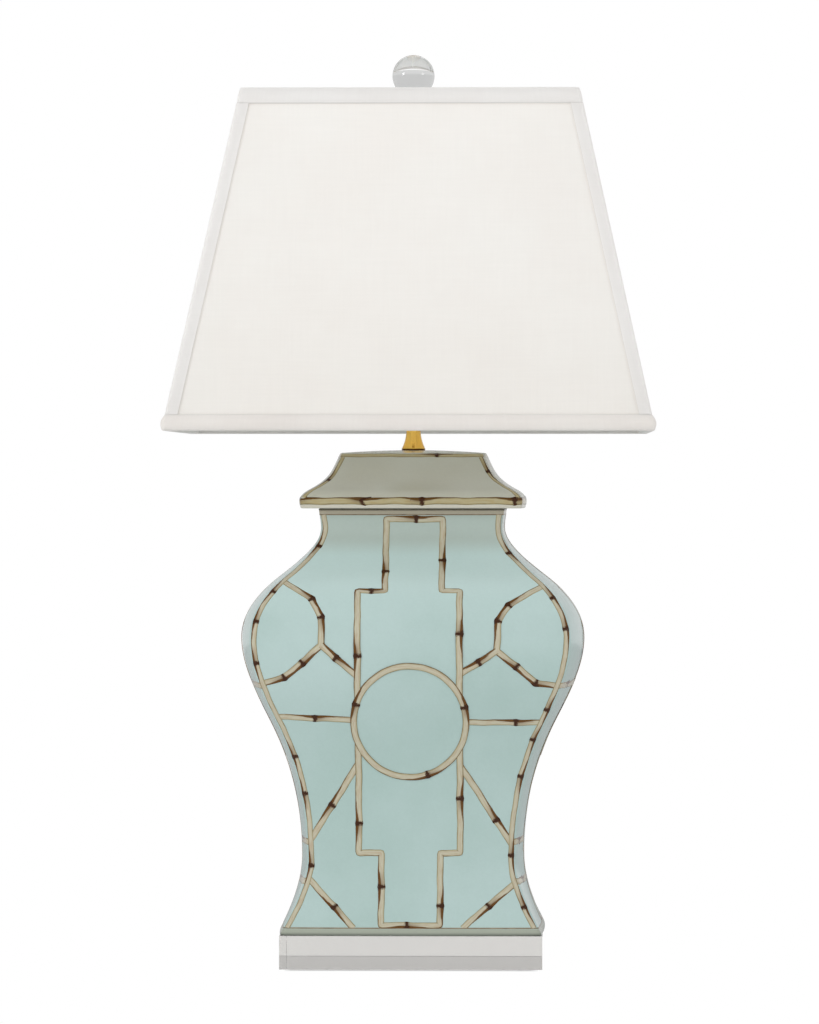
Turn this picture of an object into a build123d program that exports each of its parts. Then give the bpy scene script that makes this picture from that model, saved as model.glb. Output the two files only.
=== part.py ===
from build123d import *
import math
import os

# Table lamp: a glazed porcelain jar with a pagoda lid stands on a clear block.
# A hollow rod ties jar, lid and brass neck together and carries a socket, a harp
# and a square tapered fabric shade, which a clear ball finial holds down.
# Millimetres. The origin is the centre of the underside, +Z is up, the front
# faces -Y and +X is on the right of someone who looks at the front.

# Clearances
touch_gap = 0.1       # between glued, sewn or clamped pieces
slip_gap = 0.3        # around what turns or slides on another piece
shaft_gap = 0.05      # radial, in a running fit
rod_gap = 0.3         # radial, around the rod in the pieces it passes through
cut_over = 2.0        # how far a cutting tool runs past the face it opens

# Clear block and its pads
pad_radius = 6.0
pad_height = 1.6
pad_inset = 20.0
block_side = 233.0
block_height = 30.0
block_edge = 1.2

# Jar: half width from the axis to a corner, and how far each side bows out,
# at heights above the jar's foot. A slope is half width gained per height.
jar_height = 378.2
jar_wall = 6.0
jar_corner = 5.0
jar_inner_corner = 3.0
jar_sections = 24
foot_half = 116.5
foot_slope = -0.52
foot_bow = 3.0
waist_height = 66.4
waist_half = 92.0
waist_bow = 8.0
taper_height = 186.0
taper_half = 117.0
taper_slope = 0.47
taper_bow = 11.0
taper_bow_slope = 0.03
belly_height = 262.4
belly_half = 141.0
belly_bow = 13.5
shoulder_height = 316.4
shoulder_half = 113.0
shoulder_slope = -1.17
shoulder_bow = 7.5
shoulder_bow_slope = -0.12
throat_height = 361.0
throat_half = 80.5
throat_bow = 1.8
rim_half = 82.5
rim_slope = 0.1
foot_ring_width = 16.0
foot_recess = 14.0
jar_floor = 8.0

# Cord bushing in the back wall, at the waist
bushing_bore = 3.6
bushing_radius = 4.8
bushing_flange_radius = 7.5
bushing_flange = 2.0
bushing_tail = 3.0

# Lid: half widths at heights above its underside
lid_height = 49.5
lid_corner = 4.0
lid_sections = 14
lid_edge_half = 97.5
lid_edge_slope = 0.2
lid_rim_height = 7.0
lid_rim_half = 98.5
lid_eave_height = 17.0
lid_eave_half = 89.2
lid_eave_slope = -1.9
lid_hip_height = 33.0
lid_hip_half = 70.3
lid_hip_slope = -0.6
lid_top_half = 61.8
lid_top_slope = -0.6
lid_bow = 3.5
lid_wall = 5.0
lid_crown_rise = 2.5
lid_crown_half = 16.0
lid_flange_depth = 10.0
lid_flange_wall = 4.0
lid_flange_gap = 1.5

# Lamp rod and its fastening under the jar's floor
rod_radius = 4.8
rod_bore = 3.2
rod_tail = 2.0
washer_radius = 19.0
washer_thickness = 2.0
nut_flats = 16.0
nut_thickness = 6.0

# Brass neck
neck_height = 28.0
neck_foot_radius = 10.6
neck_foot_height = 1.5
neck_mid_radius = 8.2
neck_mid_height = 10.5
neck_top_radius = 6.4
neck_flare_height = 19.5

# Harp and its saddle
saddle_width = 14.0
saddle_thickness = 2.0
saddle_end = 4.0
harp_leg_half = 28.0
harp_wire_radius = 2.0
harp_pin_height = 8.0
harp_leg_height = 30.0
harp_belly_half = 58.0
harp_belly_height = 82.0
harp_height = 272.7
harp_leg_bend = 24.0
harp_belly_bend = 60.0
harp_top_bend = 44.0
sleeve_radius = 3.6
sleeve_length = 16.0
collar_radius = 6.5
collar_below = 4.0
collar_above = 3.5
stud_radius = 3.1
stud_height = 11.0

# Socket, heights above the saddle
cap_hub_radius = 8.5
cap_hub_height = 8.0
cap_flare_height = 5.0
cap_radius = 17.8
cap_height = 20.0
cap_wall = 0.9
set_screw_radius = 1.5
set_screw_head_radius = 2.4
set_screw_head = 1.4
set_screw_height = 4.0
shell_wall = 0.6
shell_start = 13.5
shell_top = 60.0
liner_wall = 0.8
liner_inset = 0.6
core_height = 18.0
core_flat = 10.0
terminal_screw_radius = 1.5
terminal_screw_length = 4.0
terminal_head_radius = 2.8
terminal_head = 1.5
terminal_height = 5.0
screw_shell_bore = 13.4
screw_shell_wall = 0.5
screw_shell_height = 26.0
contact_radius = 4.0
contact_base = 1.0
contact_tip_radius = 2.0
contact_tip = 1.6
contact_gap = 2.4
switch_height = 10.5
switch_shaft_radius = 1.8
switch_shaft_depth = 12.0
switch_hole_gap = 1.2
knob_gap = 2.0
knob_radius = 5.6
knob_length = 9.0
knob_bore_depth = 4.5
knob_flats = 7.0
knob_collar_radius = 3.4
knob_collar = 2.0

# Bulb
bulb_cap_radius = 13.0
bulb_cap_height = 26.0
bulb_tip_radius = 4.5
bulb_tip_height = 1.5
bulb_cone_height = 5.0
bulb_radius = 30.0
bulb_length = 108.0
bulb_neck_radius = 12.8
bulb_wall = 1.0

# Shade: outer half widths of the hems, and the tapes, panels and wires inside
shade_bottom_half = 214.5
shade_top_half = 149.0
shade_height = 302.4
tape = 0.8
binding_height = 14.0
binding_inside = 9.0
binding_channel = 7.4
corner_tape_width = 10.0
panel_thickness = 1.2
frame_wire = 1.6
wire_gap = 0.2
rib_wire = 1.4
ring_setback = 3.0
ring_corner = 4.0
spider_washer_radius = 10.0
spider_washer_thickness = 2.0
spider_wire = 1.4
spider_arm_start = 8.4
spider_drop = 8.2
spider_ramp = 30.0
spider_bend = 12.0
spider_slot_gap = 0.4

# Finial
finial_ball_radius = 19.0
finial_flat_radius = 7.0
finial_base_height = 11.6
finial_base_radius = 7.0
finial_waist_radius = 5.2
finial_foot_height = 2.5
finial_cup_height = 2.5
finial_thread_room = 1.0

# Levels that follow from the sizes above
block_bottom = pad_height
block_top = block_bottom + block_height
jar_bottom = block_top
floor_bottom = jar_bottom + foot_recess
floor_top = floor_bottom + jar_floor
jar_top = jar_bottom + jar_height
lid_bottom = jar_top
lid_top = lid_bottom + lid_height
neck_bottom = lid_top + lid_crown_rise
saddle_bottom = neck_bottom + neck_height
saddle_top = saddle_bottom + saddle_thickness
core_bottom = saddle_top + shell_start
core_top = core_bottom + core_height
contact_top = core_top + contact_base + contact_tip
bulb_bottom = contact_top + slip_gap
bulb_cap_top = bulb_bottom + bulb_cap_height
bulb_top = bulb_bottom + bulb_length
harp_top = saddle_top + harp_height
spider_bottom = harp_top + collar_above + touch_gap
spider_middle = spider_bottom + spider_washer_thickness / 2
finial_bottom = spider_bottom + spider_washer_thickness + touch_gap
top_ring_level = spider_middle + spider_drop
shade_top = top_ring_level + ring_setback
shade_bottom = shade_top - shade_height
bottom_ring_level = shade_bottom + ring_setback

# Radii and insets that follow from the sizes above
shell_radius = cap_radius - cap_wall - touch_gap
liner_radius = shell_radius - shell_wall - touch_gap
core_radius = liner_radius - liner_wall - touch_gap
panel_outset = tape + touch_gap
panel_inset = panel_outset + panel_thickness
wire_inset = panel_inset + wire_gap + frame_wire
rib_inset = wire_inset + ring_corner * (1 - math.sqrt(0.5))

jar_profile = [
    (0.0, foot_half, foot_slope),
    (waist_height, waist_half, 0.0),
    (taper_height, taper_half, taper_slope),
    (belly_height, belly_half, 0.0),
    (shoulder_height, shoulder_half, shoulder_slope),
    (throat_height, throat_half, 0.0),
    (jar_height, rim_half, rim_slope),
]
jar_bow = [
    (0.0, foot_bow, 0.0),
    (waist_height, waist_bow, 0.0),
    (taper_height, taper_bow, taper_bow_slope),
    (belly_height, belly_bow, 0.0),
    (shoulder_height, shoulder_bow, shoulder_bow_slope),
    (throat_height, throat_bow, 0.0),
    (jar_height, throat_bow, 0.0),
]
lid_profile = [
    (0.0, lid_edge_half, lid_edge_slope),
    (lid_rim_height, lid_rim_half, 0.0),
    (lid_eave_height, lid_eave_half, lid_eave_slope),
    (lid_hip_height, lid_hip_half, lid_hip_slope),
    (lid_height, lid_top_half, lid_top_slope),
]


def smooth_value(stations, height):
    """Cubic curve through (height, value, slope) stations, read at one height."""
    for lower, upper in zip(stations, stations[1:]):
        if height <= upper[0]:
            break
    span = upper[0] - lower[0]
    t = (height - lower[0]) / span
    rise = t * t * (3 - 2 * t)
    value = lower[1] + (upper[1] - lower[1]) * rise
    value += lower[2] * span * t * (1 - t) ** 2
    value -= upper[2] * span * t * t * (1 - t)
    return value


def bowed_square(half, bow, corner, level):
    """Square outline with sides bowed into arcs and corners rounded, at one level."""
    side_radius = (half ** 2 + bow ** 2) / (2 * bow)
    arc_centre = side_radius - half - bow
    reach = side_radius - corner
    corner_centre = (math.sqrt(2 * reach ** 2 - arc_centre ** 2) - arc_centre) / 2
    along = corner_centre * side_radius / reach
    across = (corner_centre + arc_centre) * side_radius / reach - arc_centre
    ridge = corner_centre + corner * math.sqrt(0.5)
    side = ThreePointArc((-along, -across), (0, -half - bow), (along, -across))
    bend = ThreePointArc((along, -across), (ridge, -ridge), (across, -along))
    edges = []
    for quarter in range(4):
        edges.append(Rot(0, 0, 90 * quarter) * side)
        edges.append(Rot(0, 0, 90 * quarter) * bend)
    return Pos(0, 0, level) * make_face(edges)


def turned(outline):
    """Solid turned about the lamp's axis from (radius, level) points."""
    return revolve(Plane.XZ * make_face(Polyline(*outline, close=True)), Axis.Z)


def upright(radius, bottom, top, place=(0, 0)):
    """Upright cylinder between two levels."""
    return extrude(Pos(place[0], place[1], bottom) * Circle(radius), top - bottom)


def rod_through(start, end, radius):
    """Straight round bar from one point to another."""
    direction = Vector(*end) - Vector(*start)
    return extrude(Plane(origin=start, z_dir=direction) * Circle(radius), direction.length)


def wire_along(path, radius):
    """Round wire bent along a path."""
    return sweep(Plane(origin=path @ 0, z_dir=path % 0) * Circle(radius), path=path)


def quarter_turns(shape):
    """Four copies of a shape, a quarter turn apart about the axis."""
    return [Rot(0, 0, 90 * quarter) * shape for quarter in range(4)]


def base_block():
    block = Pos(0, 0, block_bottom + block_height / 2) * Box(block_side, block_side, block_height)
    return chamfer(block.edges(), block_edge)


def base_pads():
    place = block_side / 2 - pad_inset
    return Compound(quarter_turns(upright(pad_radius, 0, pad_height, (place, place))))


def jar_half(level):
    return smooth_value(jar_profile, level - jar_bottom)


def jar_side_bow(level):
    return smooth_value(jar_bow, level - jar_bottom)


def jar_loft(start, inset, corner):
    """Body through the jar's sections from a level up to the rim, drawn in by an inset."""
    sections = []
    for step in range(jar_sections + 1):
        level = start + (jar_top - start) * step / jar_sections
        sections.append(bowed_square(jar_half(level) - inset, jar_side_bow(level), corner, level))
    return loft(sections)


def jar_body():
    jar = jar_loft(jar_bottom, 0, jar_corner)
    jar -= jar_loft(floor_top, jar_wall, jar_inner_corner)
    recess_half = foot_half - foot_ring_width
    recess = bowed_square(recess_half, foot_bow, jar_inner_corner, jar_bottom)
    jar -= extrude(recess, foot_recess)
    jar -= upright(rod_radius + rod_gap, jar_bottom, floor_top + cut_over)
    level = jar_bottom + waist_height
    wall_inside = waist_half + waist_bow - jar_wall - cut_over
    wall_outside = waist_half + waist_bow + cut_over
    return jar - rod_through((0, wall_inside, level), (0, wall_outside, level), bushing_radius + touch_gap)


def cord_bushing():
    level = jar_bottom + waist_height
    edges = (level - bushing_flange_radius, level + bushing_flange_radius)
    face = max(jar_half(edge) + jar_side_bow(edge) for edge in edges) + touch_gap
    inner_end = waist_half + waist_bow - jar_wall - bushing_tail
    outer_end = face + bushing_flange
    bushing = rod_through((0, inner_end, level), (0, outer_end, level), bushing_radius)
    bushing += rod_through((0, face, level), (0, outer_end, level), bushing_flange_radius)
    return bushing - rod_through((0, inner_end, level), (0, outer_end, level), bushing_bore)


def jar_lid():
    sections = []
    for step in range(lid_sections + 1):
        height = lid_height * step / lid_sections
        half = smooth_value(lid_profile, height)
        sections.append(bowed_square(half, lid_bow, lid_corner, lid_bottom + height))
    crown = bowed_square(lid_crown_half, lid_bow, lid_corner, neck_bottom)
    lid = loft(sections) + loft([sections[-1], crown], ruled=True)
    mouth_half = min(throat_half, rim_half) - jar_wall
    flange_half = mouth_half - lid_flange_gap
    flange_bottom = lid_bottom - lid_flange_depth
    flange = bowed_square(flange_half, throat_bow, jar_inner_corner, flange_bottom)
    lid += extrude(flange, lid_flange_depth)
    hollow_half = flange_half - lid_flange_wall
    hollow_low = bowed_square(hollow_half, throat_bow, jar_inner_corner, flange_bottom)
    hollow_top = lid_top - lid_wall
    hollow_high = bowed_square(lid_top_half - lid_wall, throat_bow, jar_inner_corner, hollow_top)
    lid -= loft([hollow_low, hollow_high], ruled=True)
    return lid - upright(rod_radius + rod_gap, lid_bottom, neck_bottom + cut_over)


def foot_washer():
    outer = upright(washer_radius, floor_bottom - washer_thickness, floor_bottom)
    return outer - upright(rod_radius + rod_gap, floor_bottom - washer_thickness, floor_bottom)


def foot_nut():
    top = floor_bottom - washer_thickness
    across_corners = nut_flats / math.sqrt(3)
    nut = extrude(Pos(0, 0, top - nut_thickness) * RegularPolygon(across_corners, 6), nut_thickness)
    return nut - upright(rod_radius + shaft_gap, top - nut_thickness, top)


def lamp_rod():
    bottom = floor_bottom - washer_thickness - nut_thickness - rod_tail
    top = saddle_top + cap_hub_height
    return upright(rod_radius, bottom, top) - upright(rod_bore, bottom, top)


def brass_neck():
    bore = rod_radius + rod_gap
    flare_foot = (neck_foot_radius, neck_bottom + neck_foot_height)
    flare_middle = (neck_mid_radius, neck_bottom + neck_mid_height)
    flare_top = (neck_top_radius, neck_bottom + neck_flare_height)
    outline = Polyline((bore, neck_bottom), (neck_foot_radius, neck_bottom), flare_foot)
    outline += ThreePointArc(flare_foot, flare_middle, flare_top)
    rim = (neck_top_radius, saddle_bottom)
    outline += Polyline(flare_top, rim, (bore, saddle_bottom), (bore, neck_bottom))
    return revolve(Plane.XZ * make_face(outline), Axis.Z)


def harp_saddle():
    length = 2 * (harp_leg_half + saddle_end)
    saddle = Pos(0, 0, saddle_bottom + saddle_thickness / 2) * Box(saddle_width, length, saddle_thickness)
    saddle -= upright(rod_radius + rod_gap, saddle_bottom, saddle_top)
    for side in (-1, 1):
        pin = upright(harp_wire_radius, saddle_top, saddle_top + harp_pin_height, (0, side * harp_leg_half))
        saddle += pin
    return saddle


def harp_wire():
    start = saddle_top + harp_pin_height + touch_gap
    leg_top = start + harp_leg_height
    belly = start + harp_belly_height
    right = [
        (harp_leg_half, start),
        (harp_leg_half, leg_top),
        (harp_belly_half, belly),
        (harp_belly_half, harp_top),
    ]
    left = [(-across, level) for across, level in reversed(right)]
    bends = [harp_leg_bend, harp_belly_bend, harp_top_bend]
    path = Plane.YZ * FilletPolyline(*right, *left, radius=bends + bends[::-1])
    return wire_along(path, harp_wire_radius)


def harp_sleeve(side):
    place = (0, side * harp_leg_half)
    bottom = saddle_top + touch_gap
    top = bottom + sleeve_length
    outer = upright(sleeve_radius, bottom, top, place)
    return outer - upright(harp_wire_radius + shaft_gap, bottom, top, place)


def harp_stud():
    collar = upright(collar_radius, harp_top - collar_below, harp_top + collar_above)
    stud = upright(stud_radius, harp_top + collar_above, harp_top + collar_above + stud_height)
    reach = collar_radius + cut_over
    hole = rod_through((0, -reach, harp_top), (0, reach, harp_top), harp_wire_radius + shaft_gap)
    return collar + stud - hole


def socket_cap():
    bore = rod_radius + shaft_gap
    flare = saddle_top + cap_hub_height
    rim = saddle_top + cap_height
    shoulder = flare + cap_flare_height
    inner = cap_radius - cap_wall
    cap = turned([
        (bore, saddle_top), (cap_hub_radius, saddle_top), (cap_hub_radius, flare),
        (cap_radius, shoulder), (cap_radius, rim), (inner, rim), (inner, shoulder),
        (cap_hub_radius, flare + cap_wall), (bore, flare + cap_wall),
    ])
    level = saddle_top + set_screw_height
    return cap - rod_through((0, 0, level), (0, cap_radius, level), set_screw_radius + shaft_gap)


def cap_set_screw():
    level = saddle_top + set_screw_height
    tip = rod_radius + touch_gap
    seat = cap_hub_radius + touch_gap
    screw = rod_through((0, tip, level), (0, seat, level), set_screw_radius)
    return screw + rod_through((0, seat, level), (0, seat + set_screw_head, level), set_screw_head_radius)


def switch_hole(level):
    return rod_through((0, 0, level), (cap_radius, 0, level), switch_shaft_radius + switch_hole_gap)


def socket_shell():
    bottom = saddle_top + shell_start
    top = saddle_top + shell_top
    shell = upright(shell_radius, bottom, top) - upright(shell_radius - shell_wall, bottom, top)
    return shell - switch_hole(core_bottom + switch_height)


def socket_liner():
    bottom = saddle_top + shell_start
    top = saddle_top + shell_top - liner_inset
    liner = upright(liner_radius, bottom, top) - upright(liner_radius - liner_wall, bottom, top)
    return liner - switch_hole(core_bottom + switch_height)


def socket_core():
    core = upright(core_radius, core_bottom, core_top)
    middle = core_bottom + core_height / 2
    side_depth = core_radius - core_flat
    terminal_level = core_bottom + terminal_height
    for side in (-1, 1):
        place = Pos(0, side * (core_flat + side_depth / 2), middle)
        core -= place * Box(2 * core_radius, side_depth, core_height)
        tip = (0, side * (core_flat - terminal_screw_length), terminal_level)
        seat = (0, side * core_flat, terminal_level)
        core -= rod_through(tip, seat, terminal_screw_radius + shaft_gap)
    level = core_bottom + switch_height
    inner_end = core_radius - switch_shaft_depth
    shaft_hole = switch_shaft_radius + shaft_gap
    return core - rod_through((inner_end, 0, level), (core_radius, 0, level), shaft_hole)


def terminal_screws():
    level = core_bottom + terminal_height
    screws = []
    for side in (-1, 1):
        tip = (0, side * (core_flat - terminal_screw_length + touch_gap), level)
        seat = (0, side * (core_flat + touch_gap), level)
        head = (0, side * (core_flat + touch_gap + terminal_head), level)
        shank = rod_through(tip, seat, terminal_screw_radius)
        screws.append(shank + rod_through(seat, head, terminal_head_radius))
    return Compound(screws)


def socket_screw_shell():
    outer = screw_shell_bore + screw_shell_wall
    inside = contact_radius + contact_gap
    floor = core_top + screw_shell_wall
    rim = core_top + screw_shell_height
    return turned([
        (inside, core_top), (outer, core_top), (outer, rim),
        (screw_shell_bore, rim), (screw_shell_bore, floor), (inside, floor),
    ])


def socket_contact():
    step = core_top + contact_base
    return upright(contact_radius, core_top, step) + upright(contact_tip_radius, step, contact_top)


def switch_shaft():
    level = core_bottom + switch_height
    start = core_radius - switch_shaft_depth + slip_gap
    end = shell_radius + knob_gap + knob_bore_depth
    return rod_through((start, 0, level), (end, 0, level), switch_shaft_radius)


def switch_knob():
    level = core_bottom + switch_height
    start = shell_radius + knob_gap
    end = start + knob_length
    grip_start = start + knob_collar
    knob = rod_through((grip_start, 0, level), (end, 0, level), knob_radius)
    grip_middle = Pos((grip_start + end) / 2, 0, level)
    knob &= grip_middle * Box(knob_length, knob_flats, 2 * knob_radius)
    knob += rod_through((start, 0, level), (grip_start, 0, level), knob_collar_radius)
    bore_end = start + knob_bore_depth + touch_gap
    return knob - rod_through((start, 0, level), (bore_end, 0, level), switch_shaft_radius + shaft_gap)


def bulb_cap():
    cone = bulb_bottom + bulb_tip_height
    body = cone + bulb_cone_height
    return turned([
        (0, bulb_bottom), (bulb_tip_radius, bulb_bottom), (bulb_tip_radius, cone),
        (bulb_cap_radius, body), (bulb_cap_radius, bulb_cap_top), (0, bulb_cap_top),
    ])


def bulb_outline(inset):
    """Half section of the bulb's pear shape, drawn in by an inset."""
    neck = (bulb_neck_radius - inset, bulb_cap_top)
    middle = bulb_top - bulb_radius
    widest = (bulb_radius - inset, middle)
    side = Spline(neck, widest, tangents=[(0, 1), (0, 1)])
    dome = CenterArc((0, middle), bulb_radius - inset, 0, 90)
    ends = Polyline((0, bulb_top - inset), (0, bulb_cap_top), neck)
    return revolve(Plane.XZ * make_face(side + dome + ends), Axis.Z)


def bulb_glass():
    return bulb_outline(0) - bulb_outline(bulb_wall)


def shade_half(level):
    """Outer half width of the shade at a level."""
    share = (level - shade_bottom) / shade_height
    return shade_bottom_half + (shade_top_half - shade_bottom_half) * share


def shade_layer(inset, low, high):
    """Solid four-sided taper, the shade's outer shape drawn in by an inset."""
    sections = []
    for level in (low, high):
        side = 2 * (shade_half(level) - inset)
        sections.append(Pos(0, 0, level) * Rectangle(side, side))
    return loft(sections, ruled=True)


def shade_strip(inset, thickness, low, high):
    """Four-sided band of even thickness that follows the shade's taper."""
    return shade_layer(inset, low, high) - shade_layer(inset + thickness, low, high)


def shade_panel(quarter):
    low = shade_bottom + tape + touch_gap
    high = shade_top - tape - touch_gap
    sections = []
    for level in (low, high):
        inner = shade_half(level) - panel_inset
        width = 2 * (inner - touch_gap)
        middle = inner + panel_thickness / 2
        sections.append(Pos(0, -middle, level) * Rectangle(width, panel_thickness))
    return Rot(0, 0, 90 * quarter) * loft(sections, ruled=True)


def shade_binding(edge, inward):
    """Tape folded over a wire ring; edge is the hem's level, inward points into the shade."""
    web = edge + inward * tape
    outside = sorted((edge, edge + inward * binding_height))
    inside = sorted((edge, edge + inward * binding_inside))
    turn = sorted((edge, web))
    binding = shade_strip(0, tape, *outside)
    binding += shade_strip(0, binding_channel + tape, *turn)
    return binding + shade_strip(binding_channel, tape, *inside)


def shade_top_binding():
    binding = shade_binding(shade_top, -1)
    for arm in spider_arms(spider_wire + spider_slot_gap):
        binding -= arm
    return binding


def shade_bottom_binding():
    return shade_binding(shade_bottom, 1)


def shade_corner_bindings():
    sections = []
    for level in (shade_bottom + binding_height + touch_gap, shade_top - binding_height - touch_gap):
        edge = shade_half(level)
        back = edge - tape
        start = edge - corner_tape_width
        corner = [(edge, edge), (start, edge), (start, back), (back, back), (back, start), (edge, start)]
        sections.append(Pos(0, 0, level) * make_face(Polyline(*corner, close=True)))
    return Compound(quarter_turns(loft(sections, ruled=True)))


def shade_ring(level):
    side = 2 * (shade_half(level) - wire_inset)
    path = (Pos(0, 0, level) * RectangleRounded(side, side, ring_corner)).wire()
    return wire_along(path, frame_wire)


def shade_ribs():
    ends = []
    for level in (bottom_ring_level + frame_wire + touch_gap, top_ring_level - frame_wire - touch_gap):
        place = shade_half(level) - rib_inset
        ends.append((place, place, level))
    return Compound(quarter_turns(rod_through(ends[0], ends[1], rib_wire)))


def spider_arms(radius):
    """Four wires from the spider's washer out and up to the top ring."""
    ring_inside = shade_half(top_ring_level) - wire_inset - frame_wire - touch_gap
    ramp_start = (ring_inside - spider_ramp, spider_middle)
    points = [(spider_arm_start, spider_middle), ramp_start, (ring_inside, top_ring_level)]
    path = Plane.XZ * FilletPolyline(*points, radius=spider_bend)
    return quarter_turns(wire_along(path, radius))


def shade_spider():
    top = spider_bottom + spider_washer_thickness
    spider = upright(spider_washer_radius, spider_bottom, top)
    for arm in spider_arms(spider_wire):
        spider += arm
    return spider - upright(stud_radius + slip_gap, spider_bottom, top)


def finial_base():
    top = finial_bottom + finial_base_height
    foot = finial_bottom + finial_foot_height
    cup = top - finial_cup_height
    base = turned([
        (0, finial_bottom), (finial_base_radius, finial_bottom), (finial_base_radius, foot),
        (finial_waist_radius, foot), (finial_waist_radius, cup), (finial_flat_radius, top), (0, top),
    ])
    hole_top = harp_top + collar_above + stud_height + finial_thread_room
    return base - upright(stud_radius + shaft_gap, finial_bottom, hole_top)


def finial_ball():
    flat = finial_bottom + finial_base_height
    drop = math.sqrt(finial_ball_radius ** 2 - finial_flat_radius ** 2)
    ball = Pos(0, 0, flat + drop) * Sphere(finial_ball_radius)
    return split(ball, Plane(origin=(0, 0, flat)), keep=Keep.TOP)


pieces = {
    "base_block": base_block(),
    "base_pads": base_pads(),
    "jar_body": jar_body(),
    "cord_bushing": cord_bushing(),
    "jar_lid": jar_lid(),
    "foot_washer": foot_washer(),
    "foot_nut": foot_nut(),
    "lamp_rod": lamp_rod(),
    "brass_neck": brass_neck(),
    "harp_saddle": harp_saddle(),
    "harp_wire": harp_wire(),
    "harp_sleeve_front": harp_sleeve(-1),
    "harp_sleeve_back": harp_sleeve(1),
    "harp_stud": harp_stud(),
    "socket_cap": socket_cap(),
    "cap_set_screw": cap_set_screw(),
    "socket_shell": socket_shell(),
    "socket_liner": socket_liner(),
    "socket_core": socket_core(),
    "terminal_screws": terminal_screws(),
    "socket_screw_shell": socket_screw_shell(),
    "socket_contact": socket_contact(),
    "switch_shaft": switch_shaft(),
    "switch_knob": switch_knob(),
    "bulb_cap": bulb_cap(),
    "bulb_glass": bulb_glass(),
    "shade_panel_front": shade_panel(0),
    "shade_panel_right": shade_panel(1),
    "shade_panel_back": shade_panel(2),
    "shade_panel_left": shade_panel(3),
    "shade_top_binding": shade_top_binding(),
    "shade_bottom_binding": shade_bottom_binding(),
    "shade_corner_bindings": shade_corner_bindings(),
    "shade_top_ring": shade_ring(top_ring_level),
    "shade_bottom_ring": shade_ring(bottom_ring_level),
    "shade_ribs": shade_ribs(),
    "shade_spider": shade_spider(),
    "finial_base": finial_base(),
    "finial_ball": finial_ball(),
}

os.makedirs("parts", exist_ok=True)
for name, shape in pieces.items():
    export_step(shape, f"parts/{name}.step")
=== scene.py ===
# %% [markdown]
# # A porcelain jar lamp
# A square celadon jar with a pagoda lid stands on a clear block and carries a tapered
# fabric shade. The CAD model of the lamp arrives as a fixed frame. This lesson dresses it:
# each piece is a surface worked out with numpy, put where the frame says, and given a
# finish made of shader nodes.

# %% Load the frame
import bpy
import numpy as np
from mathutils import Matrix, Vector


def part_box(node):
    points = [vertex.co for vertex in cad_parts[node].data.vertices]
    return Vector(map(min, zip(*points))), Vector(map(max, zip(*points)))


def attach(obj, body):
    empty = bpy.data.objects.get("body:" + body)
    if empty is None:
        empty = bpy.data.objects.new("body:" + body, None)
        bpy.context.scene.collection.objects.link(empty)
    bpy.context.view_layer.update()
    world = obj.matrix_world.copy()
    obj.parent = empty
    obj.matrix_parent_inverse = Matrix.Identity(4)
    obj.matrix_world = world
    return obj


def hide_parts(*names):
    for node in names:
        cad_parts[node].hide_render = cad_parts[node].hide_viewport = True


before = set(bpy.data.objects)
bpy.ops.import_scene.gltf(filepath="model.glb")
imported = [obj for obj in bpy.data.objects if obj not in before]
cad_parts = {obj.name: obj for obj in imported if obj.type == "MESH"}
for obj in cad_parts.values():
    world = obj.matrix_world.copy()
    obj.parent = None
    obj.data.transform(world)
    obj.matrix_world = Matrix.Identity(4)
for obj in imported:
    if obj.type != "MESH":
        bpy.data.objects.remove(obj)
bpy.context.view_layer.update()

MM = 0.001  # a millimetre in metres

# %% [markdown]
# ## The camera
# The picture was taken from far off with a long lens, so upright edges stay upright and the
# top and the underside of the shade hardly show. A camera 5.6 m away, just below the hem and
# nodding a little to the middle of the lamp, gives the same flat look. A zoom close to the
# lamp would splay the shade.

# %% Camera
camera_distance = 5.6
camera_height = 0.44
aim_height = 0.406
aim_across = -0.0036
camera_turn = np.radians(1.3)
camera_nod = np.arctan((camera_height - aim_height) / camera_distance)

camera_data = bpy.data.cameras.new("camera")
camera_data.lens = 218.0
camera_data.sensor_width = 36
camera_data.clip_end = 100
camera = bpy.data.objects.new("camera", camera_data)
camera.location = (
    aim_across + camera_distance * np.sin(camera_turn),
    -camera_distance * np.cos(camera_turn),
    camera_height,
)
camera.rotation_euler = (np.pi / 2 - camera_nod, 0, camera_turn)
bpy.context.scene.collection.objects.link(camera)
bpy.context.scene.camera = camera
print("camera at", [round(value, 3) for value in camera.location])

# %% [markdown]
# ## Surfaces from arrays
# Nearly every piece here is a row of closed rings: the jar's levels, the turns of a tape,
# the cross-sections of a painted line. One helper joins neighbouring rings with quads and
# closes the ends, so no piece needs its own face list. The signed volume of the result
# tells whether the faces look outwards, and a surface that is inside out is flipped.

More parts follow.
